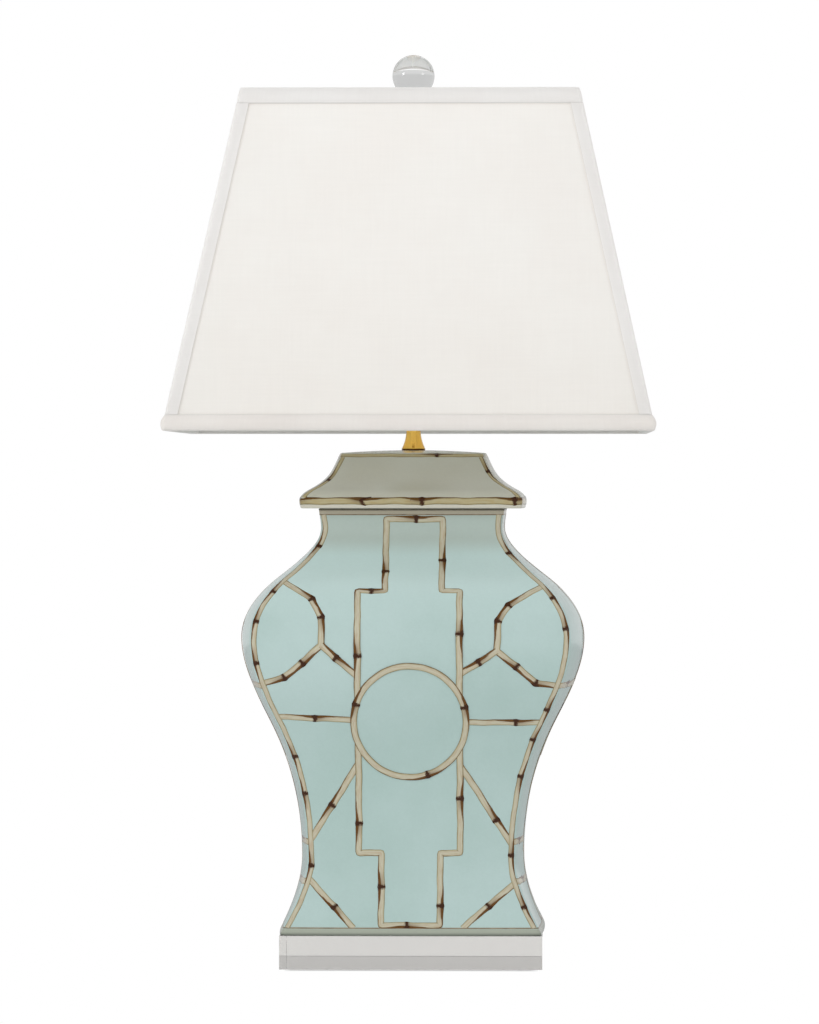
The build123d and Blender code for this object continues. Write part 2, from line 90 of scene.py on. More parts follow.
# %% Rings to a closed surface
def skin(rings, ends="poles", uv=None):
    """Quads between neighbouring closed rings. 'poles' closes each end with a fan from its
    ring's centre, and 'loop' joins the last ring to the first. uv holds one more column than
    a ring has points, and for a loop one more row, so that a pattern has no smeared seam."""
    count, around = rings.shape[:2]
    rows = np.arange(count * around).reshape(count, around)
    if ends == "loop":
        rows = np.vstack([rows, rows[:1]])
    if uv is None:
        uv = np.stack(np.meshgrid(
            np.linspace(0, 1, len(rows)), np.linspace(0, 1, around + 1), indexing="ij"), axis=-1)
    right = np.roll(rows, -1, axis=1)
    quads = np.stack([rows[:-1], right[:-1], right[1:], rows[1:]], axis=-1).reshape(-1, 4)
    quad_uv = np.stack([uv[:-1, :-1], uv[:-1, 1:], uv[1:, 1:], uv[1:, :-1]], axis=2)
    quad_uv = quad_uv.reshape(-1, 4, 2)
    points = rings.reshape(-1, 3)
    triangles = np.empty((0, 3), int)
    triangle_uv = np.empty((0, 3, 2))
    if ends == "poles":
        first, last = len(points), len(points) + 1
        points = np.vstack([points, rings[0].mean(axis=0), rings[-1].mean(axis=0)])
        triangles = np.vstack([
            np.stack([right[0], rows[0], np.full(around, first)], axis=-1),
            np.stack([rows[-1], right[-1], np.full(around, last)], axis=-1)])
        low = np.broadcast_to(uv[0].mean(axis=0), (around, 2))
        high = np.broadcast_to(uv[-1].mean(axis=0), (around, 2))
        triangle_uv = np.vstack([
            np.stack([uv[0, 1:], uv[0, :-1], low], axis=1),
            np.stack([uv[-1, :-1], uv[-1, 1:], high], axis=1)])
    corners = np.vstack([quads[:, [0, 1, 2]], quads[:, [0, 2, 3]], triangles])
    a, b, c = (points[corners[:, i]] for i in range(3))
    if np.einsum("ij,ij->i", a, np.cross(b, c)).sum() < 0:
        quads, triangles = quads[:, ::-1], triangles[:, ::-1]
        quad_uv, triangle_uv = quad_uv[:, ::-1], triangle_uv[:, ::-1]
    return points, quads, triangles, quad_uv, triangle_uv


square = [(-1, -1), (1, -1), (1, 1), (-1, 1)]
box = skin(np.array([[(x, y, level) for x, y in square] for level in (0.0, 1.0)]))
print("a box of two square rings has", len(box[1]), "quads and", len(box[2]), "triangles")

# %% Surface to a piece
def add_piece(name, surface, body, finish, replaced=(), sharp=40, values=None):
    """A surface in millimetres becomes a mesh object in metres that rides on a body."""
    points, quads, triangles, quad_uv, triangle_uv = surface
    mesh = bpy.data.meshes.new(name)
    mesh.from_pydata((points * MM).tolist(), [], quads.tolist() + triangles.tolist())
    corner_uv = np.concatenate([quad_uv.ravel(), triangle_uv.ravel()]).astype(np.float32)
    mesh.uv_layers.new(name="UVMap").data.foreach_set("uv", corner_uv)
    mesh.polygons.foreach_set("use_smooth", np.ones(len(mesh.polygons), bool))
    mesh.set_sharp_from_angle(angle=np.radians(sharp))
    for label, numbers in (values or {}).items():
        layer = mesh.attributes.new(label, "FLOAT", "POINT")
        layer.data.foreach_set("value", numbers.astype(np.float32))
    mesh.materials.append(finish)
    piece = bpy.data.objects.new(name, mesh)
    bpy.context.scene.collection.objects.link(piece)
    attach(piece, body)
    if replaced:
        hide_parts(*replaced)
    print(name, "has", len(points), "points and", len(quads) + len(triangles), "faces")
    return piece


# %% [markdown]
# ## Finishes
# A colour that is the same all over looks like plastic sheet. Real glaze, brass and cloth
# vary a little, so four small node groups make that variation once, and every material
# takes them with its own values: cloudy colour, fine grain, brushed metal and weave.

# %% Node helpers
def srgb(*values):
    """Screen colour of 0 to 255 as the linear colour that shaders use."""
    share = np.array(values) / 255
    linear = np.where(share <= 0.04045, share / 12.92, ((share + 0.055) / 1.055) ** 2.4)
    return (*linear.tolist(), 1.0)


def add_node(tree, kind, values=(), **settings):
    """One node of a tree with its settings, and values for its input sockets."""
    node = tree.nodes.new(kind)
    for label, setting in settings.items():
        setattr(node, label, setting)
    for socket, value in dict(values).items():
        node.inputs[socket].default_value = value
    return node


def feed(tree, socket, value):
    """Gives an input socket a link, if the value is an output socket, or else a plain value."""
    if isinstance(value, bpy.types.NodeSocket):
        tree.links.new(value, socket)
    else:
        socket.default_value = value


def math_node(tree, operation, *values):
    """Math node on links or plain numbers; returns its output."""
    node = add_node(tree, "ShaderNodeMath", operation=operation)
    for socket, value in zip(node.inputs, values):
        feed(tree, socket, value)
    return node.outputs[0]


def mix_colours(tree, factor, first, second, blend="MIX"):
    """Mix node on colours; each value is a link or a plain one."""
    node = add_node(tree, "ShaderNodeMix", data_type="RGBA", blend_type=blend)
    for number, value in ((0, factor), (6, first), (7, second)):
        feed(tree, node.inputs[number], value)
    return node.outputs[2]


def ramp(tree, value, low, high, to_low=0.0, to_high=1.0):
    """Value that eases from to_low to to_high while the input goes from low to high."""
    limits = {"From Min": low, "From Max": high, "To Min": to_low, "To Max": to_high}
    node = add_node(tree, "ShaderNodeMapRange", limits, interpolation_type="SMOOTHSTEP")
    tree.links.new(value, node.inputs["Value"])
    return node.outputs[0]


print("mid grey 128 is", round(srgb(128, 128, 128)[0], 3), "in linear light")

# %% [markdown]
# ### Clouds, grain and brush strokes
# Glaze and paint dry a little unevenly, and polished metal keeps fine strokes. An image texture
# would need a scan of each, so noise in Object coordinates does it: broad and soft for clouds,
# fine for grain, and squeezed in height for strokes that run round a turned piece.

# %% Cloudy colour
def noise_in(tree, space, scale, detail, roughness=0.5, stretched=(1.0, 1.0, 1.0)):
    """Noise in a texture space that is stretched along its axes; returns its value."""
    stretch = add_node(tree, "ShaderNodeMapping", {"Scale": stretched})
    noise = add_node(tree, "ShaderNodeTexNoise", {"Detail": detail, "Roughness": roughness})
    tree.links.new(add_node(tree, "ShaderNodeTexCoord").outputs[space], stretch.inputs["Vector"])
    tree.links.new(stretch.outputs[0], noise.inputs["Vector"])
    feed(tree, noise.inputs["Scale"], scale)
    return noise.outputs[0]


def new_group(name, inputs, outputs):
    """Empty shader node group with named sockets; returns its tree, inputs and outputs."""
    tree = bpy.data.node_groups.new(name, "ShaderNodeTree")
    for label, kind, value in inputs:
        tree.interface.new_socket(label, in_out="INPUT", socket_type=kind).default_value = value
    for label, kind in outputs:
        tree.interface.new_socket(label, in_out="OUTPUT", socket_type=kind)
    given = tree.nodes.new("NodeGroupInput").outputs
    result = tree.nodes.new("NodeGroupOutput").inputs
    return tree, given, result


FLOAT, COLOUR = "NodeSocketFloat", "NodeSocketColor"
cloudy, given, result = new_group(
    "cloudy",
    [("Scale", FLOAT, 10.0), ("Low", COLOUR, (0, 0, 0, 1)), ("High", COLOUR, (1, 1, 1, 1))],
    [("Color", COLOUR)])
cloud = ramp(cloudy, noise_in(cloudy, "Object", given["Scale"], 5.0, 0.55), 0.3, 0.7)
cloudy.links.new(mix_colours(cloudy, cloud, given["Low"], given["High"]), result["Color"])
print("group", cloudy.name)

# %% Fine grain and brushed metal
def value_group(name, defaults, detail, roughness, stretched, spread):
    """Group that puts out a value between Low and High, from noise that goes through a ramp."""
    tree, given, result = new_group(
        name, [(label, FLOAT, value) for label, value in defaults.items()], [("Value", FLOAT)])
    noise = noise_in(tree, "Object", given["Scale"], detail, roughness, stretched)
    reach = math_node(tree, "SUBTRACT", given["High"], given["Low"])
    value = math_node(tree, "MULTIPLY", ramp(tree, noise, *spread), reach)
    tree.links.new(math_node(tree, "ADD", value, given["Low"]), result["Value"])
    print("group", name)
    return tree


grain = value_group(
    "grain", {"Scale": 300.0, "Low": 0.0, "High": 1.0},
    detail=3.0, roughness=0.6, stretched=(1.0, 1.0, 1.0), spread=(0.25, 0.75))
brushed = value_group(
    "brushed", {"Scale": 120.0, "Low": 0.2, "High": 0.4},
    detail=4.0, roughness=0.5, stretched=(1.0, 1.0, 14.0), spread=(0.3, 0.7))

# %% [markdown]
# ### Weave
# Cloth is two sets of threads that cross over and under, with a thicker slub here and there. To
# model every thread would take millions of points. Instead two sine waves along the piece's own
# UV make the threads' height, and a chessboard of whole numbers says which set lies on top.

# %% Weave
def axes_of(tree, space):
    """The three values of a place in a texture space, such as Object or UV."""
    axes = add_node(tree, "ShaderNodeSeparateXYZ")
    tree.links.new(add_node(tree, "ShaderNodeTexCoord").outputs[space], axes.inputs[0])
    return axes.outputs


woven, given, result = new_group(
    "woven",
    [("Threads", FLOAT, 1400.0), ("Slub", FLOAT, 0.35)],
    [("Height", FLOAT), ("Tone", FLOAT)])
across, upward = (
    math_node(woven, "MULTIPLY", axis, given["Threads"]) for axis in axes_of(woven, "UV")[:2])
warp, weft = (
    math_node(woven, "ABSOLUTE", math_node(
        woven, "SINE", math_node(woven, "MULTIPLY", count, np.pi)))
    for count in (across, upward))
crossing = math_node(
    woven, "ADD", math_node(woven, "FLOOR", across), math_node(woven, "FLOOR", upward))
over = math_node(woven, "PINGPONG", crossing, 1.0)
under = math_node(woven, "SUBTRACT", 1.0, over)
cloth = math_node(
    woven, "ADD",
    math_node(woven, "MULTIPLY", warp, over), math_node(woven, "MULTIPLY", weft, under))
slubs = math_node(woven, "ADD", *(
    noise_in(woven, "UV", 2.0, 2.0, stretched=stretched)
    for stretched in ((260.0, 9.0, 1.0), (9.0, 260.0, 1.0))))
raised = math_node(woven, "MULTIPLY", slubs, given["Slub"])
woven.links.new(math_node(woven, "ADD", cloth, raised), result["Height"])
slub_mean = math_node(woven, "MULTIPLY", slubs, 0.5)
woven.links.new(ramp(woven, slub_mean, 0.3, 0.7), result["Tone"])
print("group", woven.name)

# %% [markdown]
# ### Materials from the groups
# Every finish starts as a Principled shader. Plain values go on its own sockets, and the groups
# feed only what varies: colour, gloss and bump. Bands by height, such as the painted shade at the
# foot of the brass neck, are mixed into the colour on the way.

# %% Material helpers
def new_finish(name, **sockets):
    """Material with a Principled shader; plain values go straight on the shader's sockets."""
    material = bpy.data.materials.new(name)
    material.use_nodes = True
    tree = material.node_tree
    shader = tree.nodes["Principled BSDF"]
    for label, value in sockets.items():
        shader.inputs[label.replace("_", " ")].default_value = value
    return material, tree, shader


def use_group(tree, group, **values):
    """Group placed in a material with its own values; returns its outputs."""
    return add_node(tree, "ShaderNodeGroup", values, node_tree=group).outputs


def bump(tree, shader, height, strength, distance):
    """Bump node from a height to the shader's normal."""
    node = add_node(tree, "ShaderNodeBump", {"Strength": strength, "Distance": distance})
    tree.links.new(height, node.inputs["Height"])
    tree.links.new(node.outputs[0], shader.inputs["Normal"])


def height_bands(tree, tone, foot, bands):
    """Tone that turns into other colours where the height over a foot goes from start to end."""
    level = axes_of(tree, "Object")[2]
    for start, end, colour in bands:
        share = ramp(tree, level, (foot + start) * MM, (foot + end) * MM)
        tone = mix_colours(tree, share, tone, colour)
    return tone


print("groups for the finishes:", [group.name for group in (cloudy, grain, brushed, woven)])

# %% [markdown]
# ## The jar's shape
# A slip-cast jar is square in plan, but its sides belly out a little and its corners are
# soft. Each level is one outline: four wide arcs joined by four small corner arcs. Half
# width and bow follow smooth cubics through a few stations up the height. Measuring a point
# by its length along the outline lets the painter's lines run on round the corners.

# %% Smooth profiles
def smooth_value(stations, heights):
    """Cubic curve through (height, value, slope) stations: with t from 0 to 1 between two of
    them, the value eases by t*t*(3-2t) and the slopes add span*t*(1-t)^2 and -span*t^2*(1-t)."""
    stations = np.array(stations)
    heights = np.asarray(heights, float)
    low = np.clip(np.searchsorted(stations[:, 0], heights, side="right") - 1, 0, len(stations) - 2)
    lower, upper = stations[low], stations[low + 1]
    span = upper[..., 0] - lower[..., 0]
    t = (heights - lower[..., 0]) / span
    value = lower[..., 1] + (upper[..., 1] - lower[..., 1]) * t * t * (3 - 2 * t)
    return value + span * (lower[..., 2] * t * (1 - t) ** 2 - upper[..., 2] * t * t * (1 - t))


print("level at both ends, a curve is halfway up at", smooth_value([(0, 0, 0), (1, 1, 0)], 0.5))

# %% Bowed square outlines
def outline_lengths(half, bow, corner):
    """Radius and centre of the side arcs, centre of the corner arcs, half a side's length and
    a corner's length. Side and corner arc meet where both look the same way."""
    radius = (half ** 2 + bow ** 2) / (2 * bow)
    shift = radius - half - bow
    reach = radius - corner
    centre = (np.sqrt(2 * reach ** 2 - shift ** 2) - shift) / 2
    swing = np.arcsin(centre / reach)
    return radius, shift, centre, radius * swing, corner * (np.pi / 2 - 2 * swing)


def quarter_turned(x, y, quarter):
    """Plan point turned about the lamp's axis by a number of quarters."""
    turn = quarter * np.pi / 2
    return x * np.cos(turn) - y * np.sin(turn), x * np.sin(turn) + y * np.cos(turn)


def outline_point(half, bow, corner, along):
    """Plan point at a length along the outline from the middle of the front: on a side at
    angle a it is (R sin a, shift - R cos a), on a corner (centre + r sin a, -centre - r cos a),
    turned by a quarter for each side that has been passed."""
    radius, shift, centre, side, bend = outline_lengths(half, bow, corner)
    quarter = np.floor((along + side) / (2 * side + bend))
    rest = along - quarter * (2 * side + bend)
    angle = np.where(rest <= side, rest / radius, side / radius + (rest - side) / corner)
    x = np.where(rest <= side, radius * np.sin(angle), centre + corner * np.sin(angle))
    y = np.where(rest <= side, shift - radius * np.cos(angle), -centre - corner * np.cos(angle))
    return quarter_turned(x, y, quarter)


side_marks = np.linspace(-1, 1, 29)
corner_marks = np.linspace(0, 1, 11)[1:-1]


def square_rings(half, bow, corner, level, sides=side_marks):
    """Closed outlines at several levels, marked at the same shares of each side and corner."""
    half, bow, corner, level = (
        np.asarray(value, float)[:, None]
        for value in np.broadcast_arrays(half, bow, corner, level))
    side, bend = outline_lengths(half, bow, corner)[3:]
    quarter = np.hstack([side * sides, side + bend * corner_marks])
    along = np.hstack([quarter + turn * (2 * side + bend) for turn in range(4)])
    x, y = outline_point(half, bow, corner, along)
    return np.stack([x, y, np.broadcast_to(level, x.shape)], axis=-1)


print("each outline has", 4 * (len(side_marks) + len(corner_marks)), "points")

# %% Jar measures
def extent(node):
    """Lowest level, highest level and half width of a frame piece, in millimetres."""
    low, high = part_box(node)
    return low.z / MM, high.z / MM, high.x / MM


def bowed_side(profile, bows, corner, foot):
    """Two functions for a piece whose levels are bowed squares above a foot. The first gives the
    point of its outside at a length along the outline from the middle of a side, the second the
    length from there to the middle of that side's right corner."""
    def lengths(height):
        """Half width, bow, half a side's length and a corner's length at a height."""
        half, bow = smooth_value(profile, height), smooth_value(bows, height)
        return half, bow, *outline_lengths(half, bow, corner)[3:]

    def point(along, height, quarter=0):
        """Point of the outside, on a side that is a number of quarters round."""
        half, bow, side, bend = lengths(height)
        x, y = outline_point(half, bow, corner, along + quarter * (2 * side + bend))
        return np.stack([x, y, foot + np.broadcast_to(height, x.shape)], axis=-1)

    def ridge(height):
        """Length from the middle of a side to the middle of its right corner."""
        side, bend = lengths(height)[2:]
        return side + bend / 2

    return point, ridge


jar_foot, jar_lip, _ = extent("jar_body")
jar_height = jar_lip - jar_foot
jar_stations = np.array([  # height, half width and its slope, bow and its slope
    (0.0, 116.5, -0.52, 3.0, 0.0),
    (66.4, 92.0, 0.0, 8.0, 0.0),
    (186.0, 117.0, 0.47, 11.0, 0.03),
    (262.4, 141.0, 0.0, 13.5, 0.0),
    (316.4, 113.0, -1.17, 7.5, -0.12),
    (361.0, 80.5, 0.0, 1.8, 0.0),
    (378.2, 82.5, 0.1, 1.8, 0.0),
])
jar_profile, jar_bow = jar_stations[:, [0, 1, 2]], jar_stations[:, [0, 3, 4]]
jar_corner = 5.0
jar_wall = 6.0
foot_ring = 16.0
foot_recess = 14.0
jar_floor = 8.0
foot_round = 1.5
lip_round = 2.4
air_film = 0.06  # clear pieces mirror inside only where air, however thin, lies against them
jar_point, jar_ridge = bowed_side(jar_profile, jar_bow, jar_corner, jar_foot)
belly_height = jar_profile[jar_profile[:, 1].argmax(), 0]
print("belly at", belly_height, "mm, its sides", round(2 * jar_ridge(belly_height), 1), "mm long")

# %% Jar surface
def quarter_arc(steps):
    """Shares of a quarter circle: sine and one minus cosine, from 0 to 1."""
    angle = np.linspace(0, np.pi / 2, steps)
    return np.sin(angle), 1 - np.cos(angle)


def jar_rings():
    """Rings from the middle of the recess under the jar, down to the foot, up the outside,
    over the lip and down the inside to the middle of the floor."""
    sine, rise = quarter_arc(6)
    outer = np.linspace(foot_round, jar_height - lip_round, 150)
    inner = np.linspace(jar_height - lip_round, foot_recess + jar_floor, 60)
    recess = jar_profile[0, 1] - foot_ring
    foot_half = smooth_value(jar_profile, foot_round)
    lip_half = smooth_value(jar_profile, jar_height - lip_round)
    mouth = lip_half - jar_wall
    heights = np.maximum(air_film, np.concatenate([
        [foot_recess] * 3, [0.0, 0.0], foot_round * rise, outer,
        jar_height - lip_round * (1 - sine), jar_height - lip_round * rise, inner,
        [inner[-1]] * 3]))
    halves = np.concatenate([
        recess * np.array([0.08, 0.9, 1.0]), [recess, recess + 1],
        foot_half - foot_round * (1 - sine), smooth_value(jar_profile, outer),
        lip_half - lip_round * rise, mouth + lip_round * (1 - sine),
        smooth_value(jar_profile, inner) - jar_wall,
        (smooth_value(jar_profile, inner[-1:]) - jar_wall) * np.array([0.98, 0.6, 0.06])])
    bows = np.minimum(smooth_value(jar_bow, heights), halves * 0.09)
    corners = np.minimum(jar_corner, halves * 0.3)
    return square_rings(halves, bows, corners, jar_foot + heights)


jar_surface = skin(jar_rings())
jar_width = np.ptp(jar_surface[0][:, 0])
print("jar", round(jar_height, 1), "mm tall and", round(jar_width, 1), "mm wide")

# %% [markdown]
# ## The glaze
# Celadon is a clear blue-green glaze over white clay. It is glossy and a little cloudy, and greyer
# where it runs thin over the lip. Its other bands are painted light and shade. The paler shoulder
# is painted light, for light that the lampshade holds off, and the greyer neck is painted shade of
# the lampshade. Below the foot line the glaze turns greyer, partly its own tone and partly painted
# shade, and then dark, a painted shadow where the jar meets the block. The bands sit at fixed
# heights, so the material mixes its tones by the height in Object coordinates.

# %% Celadon glaze
def glaze_finish(name, low, high, foot, bands):
    """Glossy glaze: cloudy colour, then bands of other tones by height, then a fine speckle."""
    material, tree, shader = new_finish(name, IOR=1.5, Specular_IOR_Level=0.25)
    tone = use_group(tree, cloudy, Scale=7.0, Low=low, High=high)["Color"]
    tone = height_bands(tree, tone, foot, bands)
    speck = use_group(tree, grain, Scale=420.0, Low=0.985, High=1.012)["Value"]
    tone = mix_colours(tree, 1.0, tone, speck, "MULTIPLY")
    tree.links.new(tone, shader.inputs["Base Color"])
    gloss = use_group(tree, grain, Scale=60.0, Low=0.12, High=0.18)["Value"]
    tree.links.new(gloss, shader.inputs["Roughness"])
    ripple = use_group(tree, grain, Scale=90.0, Low=0.0, High=1.0)["Value"]
    bump(tree, shader, ripple, 0.08, 0.0006)
    return material


lip_line = 372.6
foot_line = 6.7
celadon = glaze_finish("celadon_glaze", srgb(172, 196, 191), srgb(184, 206, 203), jar_foot, [
    (270, 312, srgb(196, 219, 216)),  # painted light: a paler shoulder, for light that the lampshade holds off
    (334, 353, srgb(178, 192, 185)),  # painted shade of the lampshade round the neck
    (lip_line - 1, lip_line + 1, srgb(184, 176, 157)),  # thin over the lip
    (foot_line + 2, foot_line - 2, srgb(164, 170, 156)),  # greyer below the foot line: partly the glaze's own tone, partly painted shade
    (foot_line - 3, 0.5, srgb(116, 122, 112)),  # painted shadow where the foot meets the block
])
add_piece("jar", jar_surface, "stand", celadon, ["jar_body"], sharp=50)

# %% [markdown]
# ## The lid
# The lid is a small pagoda roof: an upright rim, a swept eave and a hip that rises to a flat
# crown, with a flange underneath that drops into the jar's mouth. Its outlines are the same
# bowed squares, so the same rings make it, from the inside of the flange out to the crown.

# %% Lid surface
lid_foot = jar_foot + jar_height
lid_crown = extent("jar_lid")[1] - lid_foot
lid_height = 49.5
lid_profile = [
    (0.0, 97.5, 0.2), (7.0, 98.5, 0.0), (17.0, 89.2, -1.9), (33.0, 70.3, -0.6),
    (lid_height, 61.8, -0.6)]
lid_corner = 4.0
lid_bow = 3.5
flange_half = 73.0
flange_depth = 10.0
flange_wall = 4.0
hollow_top = 44.5
hollow_half = 56.8
lid_round = 1.4
top_round = 1.6
lid_point, lid_ridge = bowed_side(
    lid_profile, [(0.0, lid_bow, 0.0), (lid_height, lid_bow, 0.0)], lid_corner, lid_foot)


def lid_rings():
    """Rings from under the crown down the hollow, round the flange, out along the underside,
    up over rim, eave and hip, and in over the crown."""
    sine, rise = quarter_arc(5)
    outer = np.linspace(lid_round, lid_height - top_round, 60)
    rim = smooth_value(lid_profile, lid_round)
    top = smooth_value(lid_profile, lid_height - top_round)
    crown = np.linspace(1, 0.05, 12)
    heights = np.concatenate([
        [hollow_top] * 2, [-flange_depth] * 2, [0.0] * 2, lid_round * rise, outer,
        lid_height - top_round * (1 - sine),
        lid_height + (lid_crown - lid_height) * (1 - crown ** 2)])
    halves = np.concatenate([
        [4.0, hollow_half], [flange_half - flange_wall, flange_half], [flange_half, rim - 6],
        rim - lid_round * (1 - sine), smooth_value(lid_profile, outer),
        top - top_round * rise, (top - top_round - 0.6) * crown])
    bows = np.minimum(lid_bow, halves * 0.08)
    corners = np.minimum(lid_corner, halves * 0.3)
    return square_rings(halves, bows, corners, lid_foot + heights)


# The lid's glaze is greyer and more olive than the jar's: partly its own tone, partly painted
# shade of the lampshade above it.
lid_celadon = glaze_finish("lid_glaze", srgb(190, 189, 172), srgb(198, 200, 186), lid_foot, [
    (3.6, 2.6, srgb(204, 200, 186)),  # pale rim under the painted cane
])
add_piece("lid", skin(lid_rings()), "stand", lid_celadon, ["jar_lid"], sharp=35)

# %% [markdown]
# ## The painted canes
# The fretwork is a traditional bamboo lattice, painted on the glaze: stalks with dark nodes,
# some upright, some slanted, with one ring of cane in the middle of each side. Front and back
# have the whole lattice, and the other two sides three level bars and a slimmer frame and ring.
# A texture would need a picture, so each stalk is a low ribbon that follows the jar's surface.
# Its cross-section is carried along a path given by (length along the outline, height).
# Two numbers ride along with the points: the distance to the nearest node, and the distance
# to the node that fades into the stalk there.

# %% Brush and ribbon measures
draw = np.random.default_rng(7)
stalk_width = 6.0
stalk_step = 1.6
sway_lengths = (46, 19)
across_marks = np.array([-0.5, -0.47, -0.3, -0.1, 0.1, 0.3, 0.47, 0.5, 0.3, -0.3])
lift_marks = np.array([0.0, 1.0, 1.0, 1.0, 1.0, 1.0, 1.0, 0.0, 0.0, 0.0])
ribbon_depth = 0.3
brush_reach = 1.3
no_node = 99.0


def slopes(surface, along, height):
    """How a surface point moves per millimetre along the outline and per millimetre of height."""
    step = 0.05
    return (
        (surface(along + step, height) - surface(along - step, height)) / (2 * step),
        (surface(along, height + step) - surface(along, height - step)) / (2 * step))


def dot(first, second):
    """Scalar product of matching rows."""
    return np.einsum("ij,ij->i", first, second)


def cut_corners(corners, before, after, reach):
    """Points at a distance before and after each corner, at most 0.45 of the way to the next."""
    return [
        corners + side * np.minimum(reach / np.linalg.norm(side, axis=1)[:, None], 0.45)
        for side in (before, after)]


def eased(path):
    """Open path whose corners become three points of a short curve, as a brush takes them."""
    path = np.array(path, float)
    corners = path[1:-1]
    start, end = cut_corners(corners, path[:-2] - corners, path[2:] - corners, brush_reach)
    middle = (start + 2 * corners + end) / 4
    curves = np.stack([start, middle, end], axis=1).reshape(-1, 2)
    return np.vstack([path[:1], curves, path[-1:]])


print("a ribbon has", len(across_marks), "points round its section")

# %% Paths with mitred corners
def marked_path(path, wrap, width, step):
    """Points, directions and mitres along a path. Every corner is a point, whose direction
    halves the turn and whose width grows by 1 / cos(turn / 2), as in a mitred frame. Between
    corners the points are even, and keep clear of the corner's inside. A path with a wrap goes
    on from its last point to its first point moved by the wrap."""
    path = np.array(path, float)
    closed = wrap is not None
    if closed:
        path = np.vstack([path, path[:1] + wrap])
    runs = np.diff(path, axis=0)
    size = np.linalg.norm(runs, axis=1)
    unit = runs / size[:, None]
    before = np.vstack([unit[-1:] if closed else unit[:1], unit])
    after = np.vstack([unit, unit[:1] if closed else unit[-1:]])
    turned_way = (before + after) / 2
    mitre = 1 / np.maximum(np.linalg.norm(turned_way, axis=1), 0.6)
    trim = np.maximum(width / 2 * np.sqrt(np.maximum(mitre ** 2 - 1, 0)), step / 2)
    start, end = trim[:-1], size - trim[1:]
    counts = np.where(end > start, (end - start) // step + 1, 0).astype(int)
    owner = np.repeat(np.arange(len(size)), counts)
    order = np.arange(counts.sum()) - np.repeat(np.cumsum(counts) - counts, counts)
    share = np.where(counts[owner] > 1, order / np.maximum(counts[owner] - 1, 1), 0.5)
    mark = start[owner] + (end - start)[owner] * share
    corners = len(path) - 1 if closed else len(path)
    places = np.vstack([path[:corners], path[owner] + unit[owner] * mark[:, None]])
    ways = np.vstack([turned_way[:corners] * mitre[:corners, None], unit[owner]])
    mitres = np.concatenate([mitre[:corners], np.ones(len(owner))])
    sequence = np.argsort(np.concatenate([np.arange(corners), owner + mark / size[owner]]))
    return places[sequence], ways[sequence], mitres[sequence]


bent = marked_path([(0, 0), (20, 0), (20, 20)], None, stalk_width, stalk_step)
print("a square bend has", len(bent[0]), "marks and a mitre of", round(bent[2].max(), 3))

# %% Ribbons on a surface
def node_distances(run, places, joints, length):
    """Distance to the nearest node, and distance to the node whose brown fade covers the point:
    each node fades along the stalk on one side only. Round a loop the shorter way counts."""
    near = np.full(len(run), no_node)
    tail = np.full(len(run), no_node)
    for joint in joints:
        gap = run - run[np.argmin(np.linalg.norm(places - joint, axis=1))]
        other_way = gap - np.sign(gap) * np.nan_to_num(length, posinf=0)
        gap = np.where(np.abs(gap) > length / 2, other_way, gap)
        near = np.minimum(near, np.abs(gap))
        faded = gap * draw.choice([-1, 1])
        tail = np.minimum(tail, np.where(faded >= 0, faded, no_node))
    return near, tail


def stalk(surface, path, joints=(), width=stalk_width, lift=0.14, wrap=None, sway=0.2):
    """Ribbon along a path. The surface's two slopes give tangent and normal; their cross
    product is the ribbon's sideways direction, and a 2 by 2 solve turns sideways millimetres
    into lengths along the outline and up, so that the ribbon keeps to the surface. At a
    distance from a node it is wider by 0.16 exp(-(distance / 1.8)^2) + 0.12 exp(-distance / 5),
    and two sine waves sway it a little from side to side, as a hand-drawn line sways."""
    places, ways, mitres = marked_path(path, wrap, width, stalk_step)
    along, height = places.T
    by_along, by_height = slopes(surface, along, height)
    tangent = ways[:, :1] * by_along + ways[:, 1:] * by_height
    tangent /= np.linalg.norm(tangent, axis=1)[:, None]
    normal = np.cross(by_along, by_height)
    normal /= np.linalg.norm(normal, axis=1)[:, None]
    sideways = np.cross(normal, tangent)
    a, b, d = dot(by_along, by_along), dot(by_along, by_height), dot(by_height, by_height)
    p, q = dot(sideways, by_along), dot(sideways, by_height)
    area = a * d - b * b
    side_along, side_height = (d * p - b * q) / area, (a * q - b * p) / area
    gaps = np.linalg.norm(np.diff(surface(along, height), axis=0), axis=1)
    run = np.concatenate([[0], np.cumsum(gaps)])
    closed = wrap is not None
    length = run[-1] + gaps[-1]
    near, tail = node_distances(run, places, joints, length if closed else np.inf)
    swell = 1 + 0.16 * np.exp(-(near / 1.8) ** 2) + 0.12 * np.exp(-near / 5)
    waves = [
        np.sin(2 * np.pi * (np.ceil(length / wave) * run / length + draw.uniform()))
        for wave in sway_lengths]
    drift = sway * (waves[0] + 0.5 * waves[1])
    offset = (width * mitres * swell)[:, None] * across_marks + drift[:, None]
    rings = surface(
        along[:, None] + side_along[:, None] * offset,
        height[:, None] + side_height[:, None] * offset)
    rise = (lift + ribbon_depth) * lift_marks - ribbon_depth
    rings = rings + normal[:, None, :] * rise[:, None]
    rows = np.append(run, length) if closed else run
    columns = np.append(across_marks, across_marks[0]) + 0.5
    uv = np.stack(np.meshgrid(rows * MM + draw.uniform(0, 3), columns, indexing="ij"), axis=-1)
    ribbon = skin(rings, "loop" if closed else "poles", uv)
    tips = [] if closed else [0, -1]
    values = [np.append(np.repeat(value, rings.shape[1]), value[tips]) for value in (near, tail)]
    return ribbon, values


print("a stalk is", stalk_width, "mm wide, with a ring of points every", stalk_step, "mm")

# %% [markdown]
# ### The lattice
# A painter traces one pattern on the front and the back: a stepped frame with a ring, and
# branches that run out to the corners. Here it is a table of paths with the places of their
# nodes, in millimetres along the outline and up from the foot, read off as a draughtsman would.
# The other two sides take the frame and the ring drawn in towards the middle, and level bars.

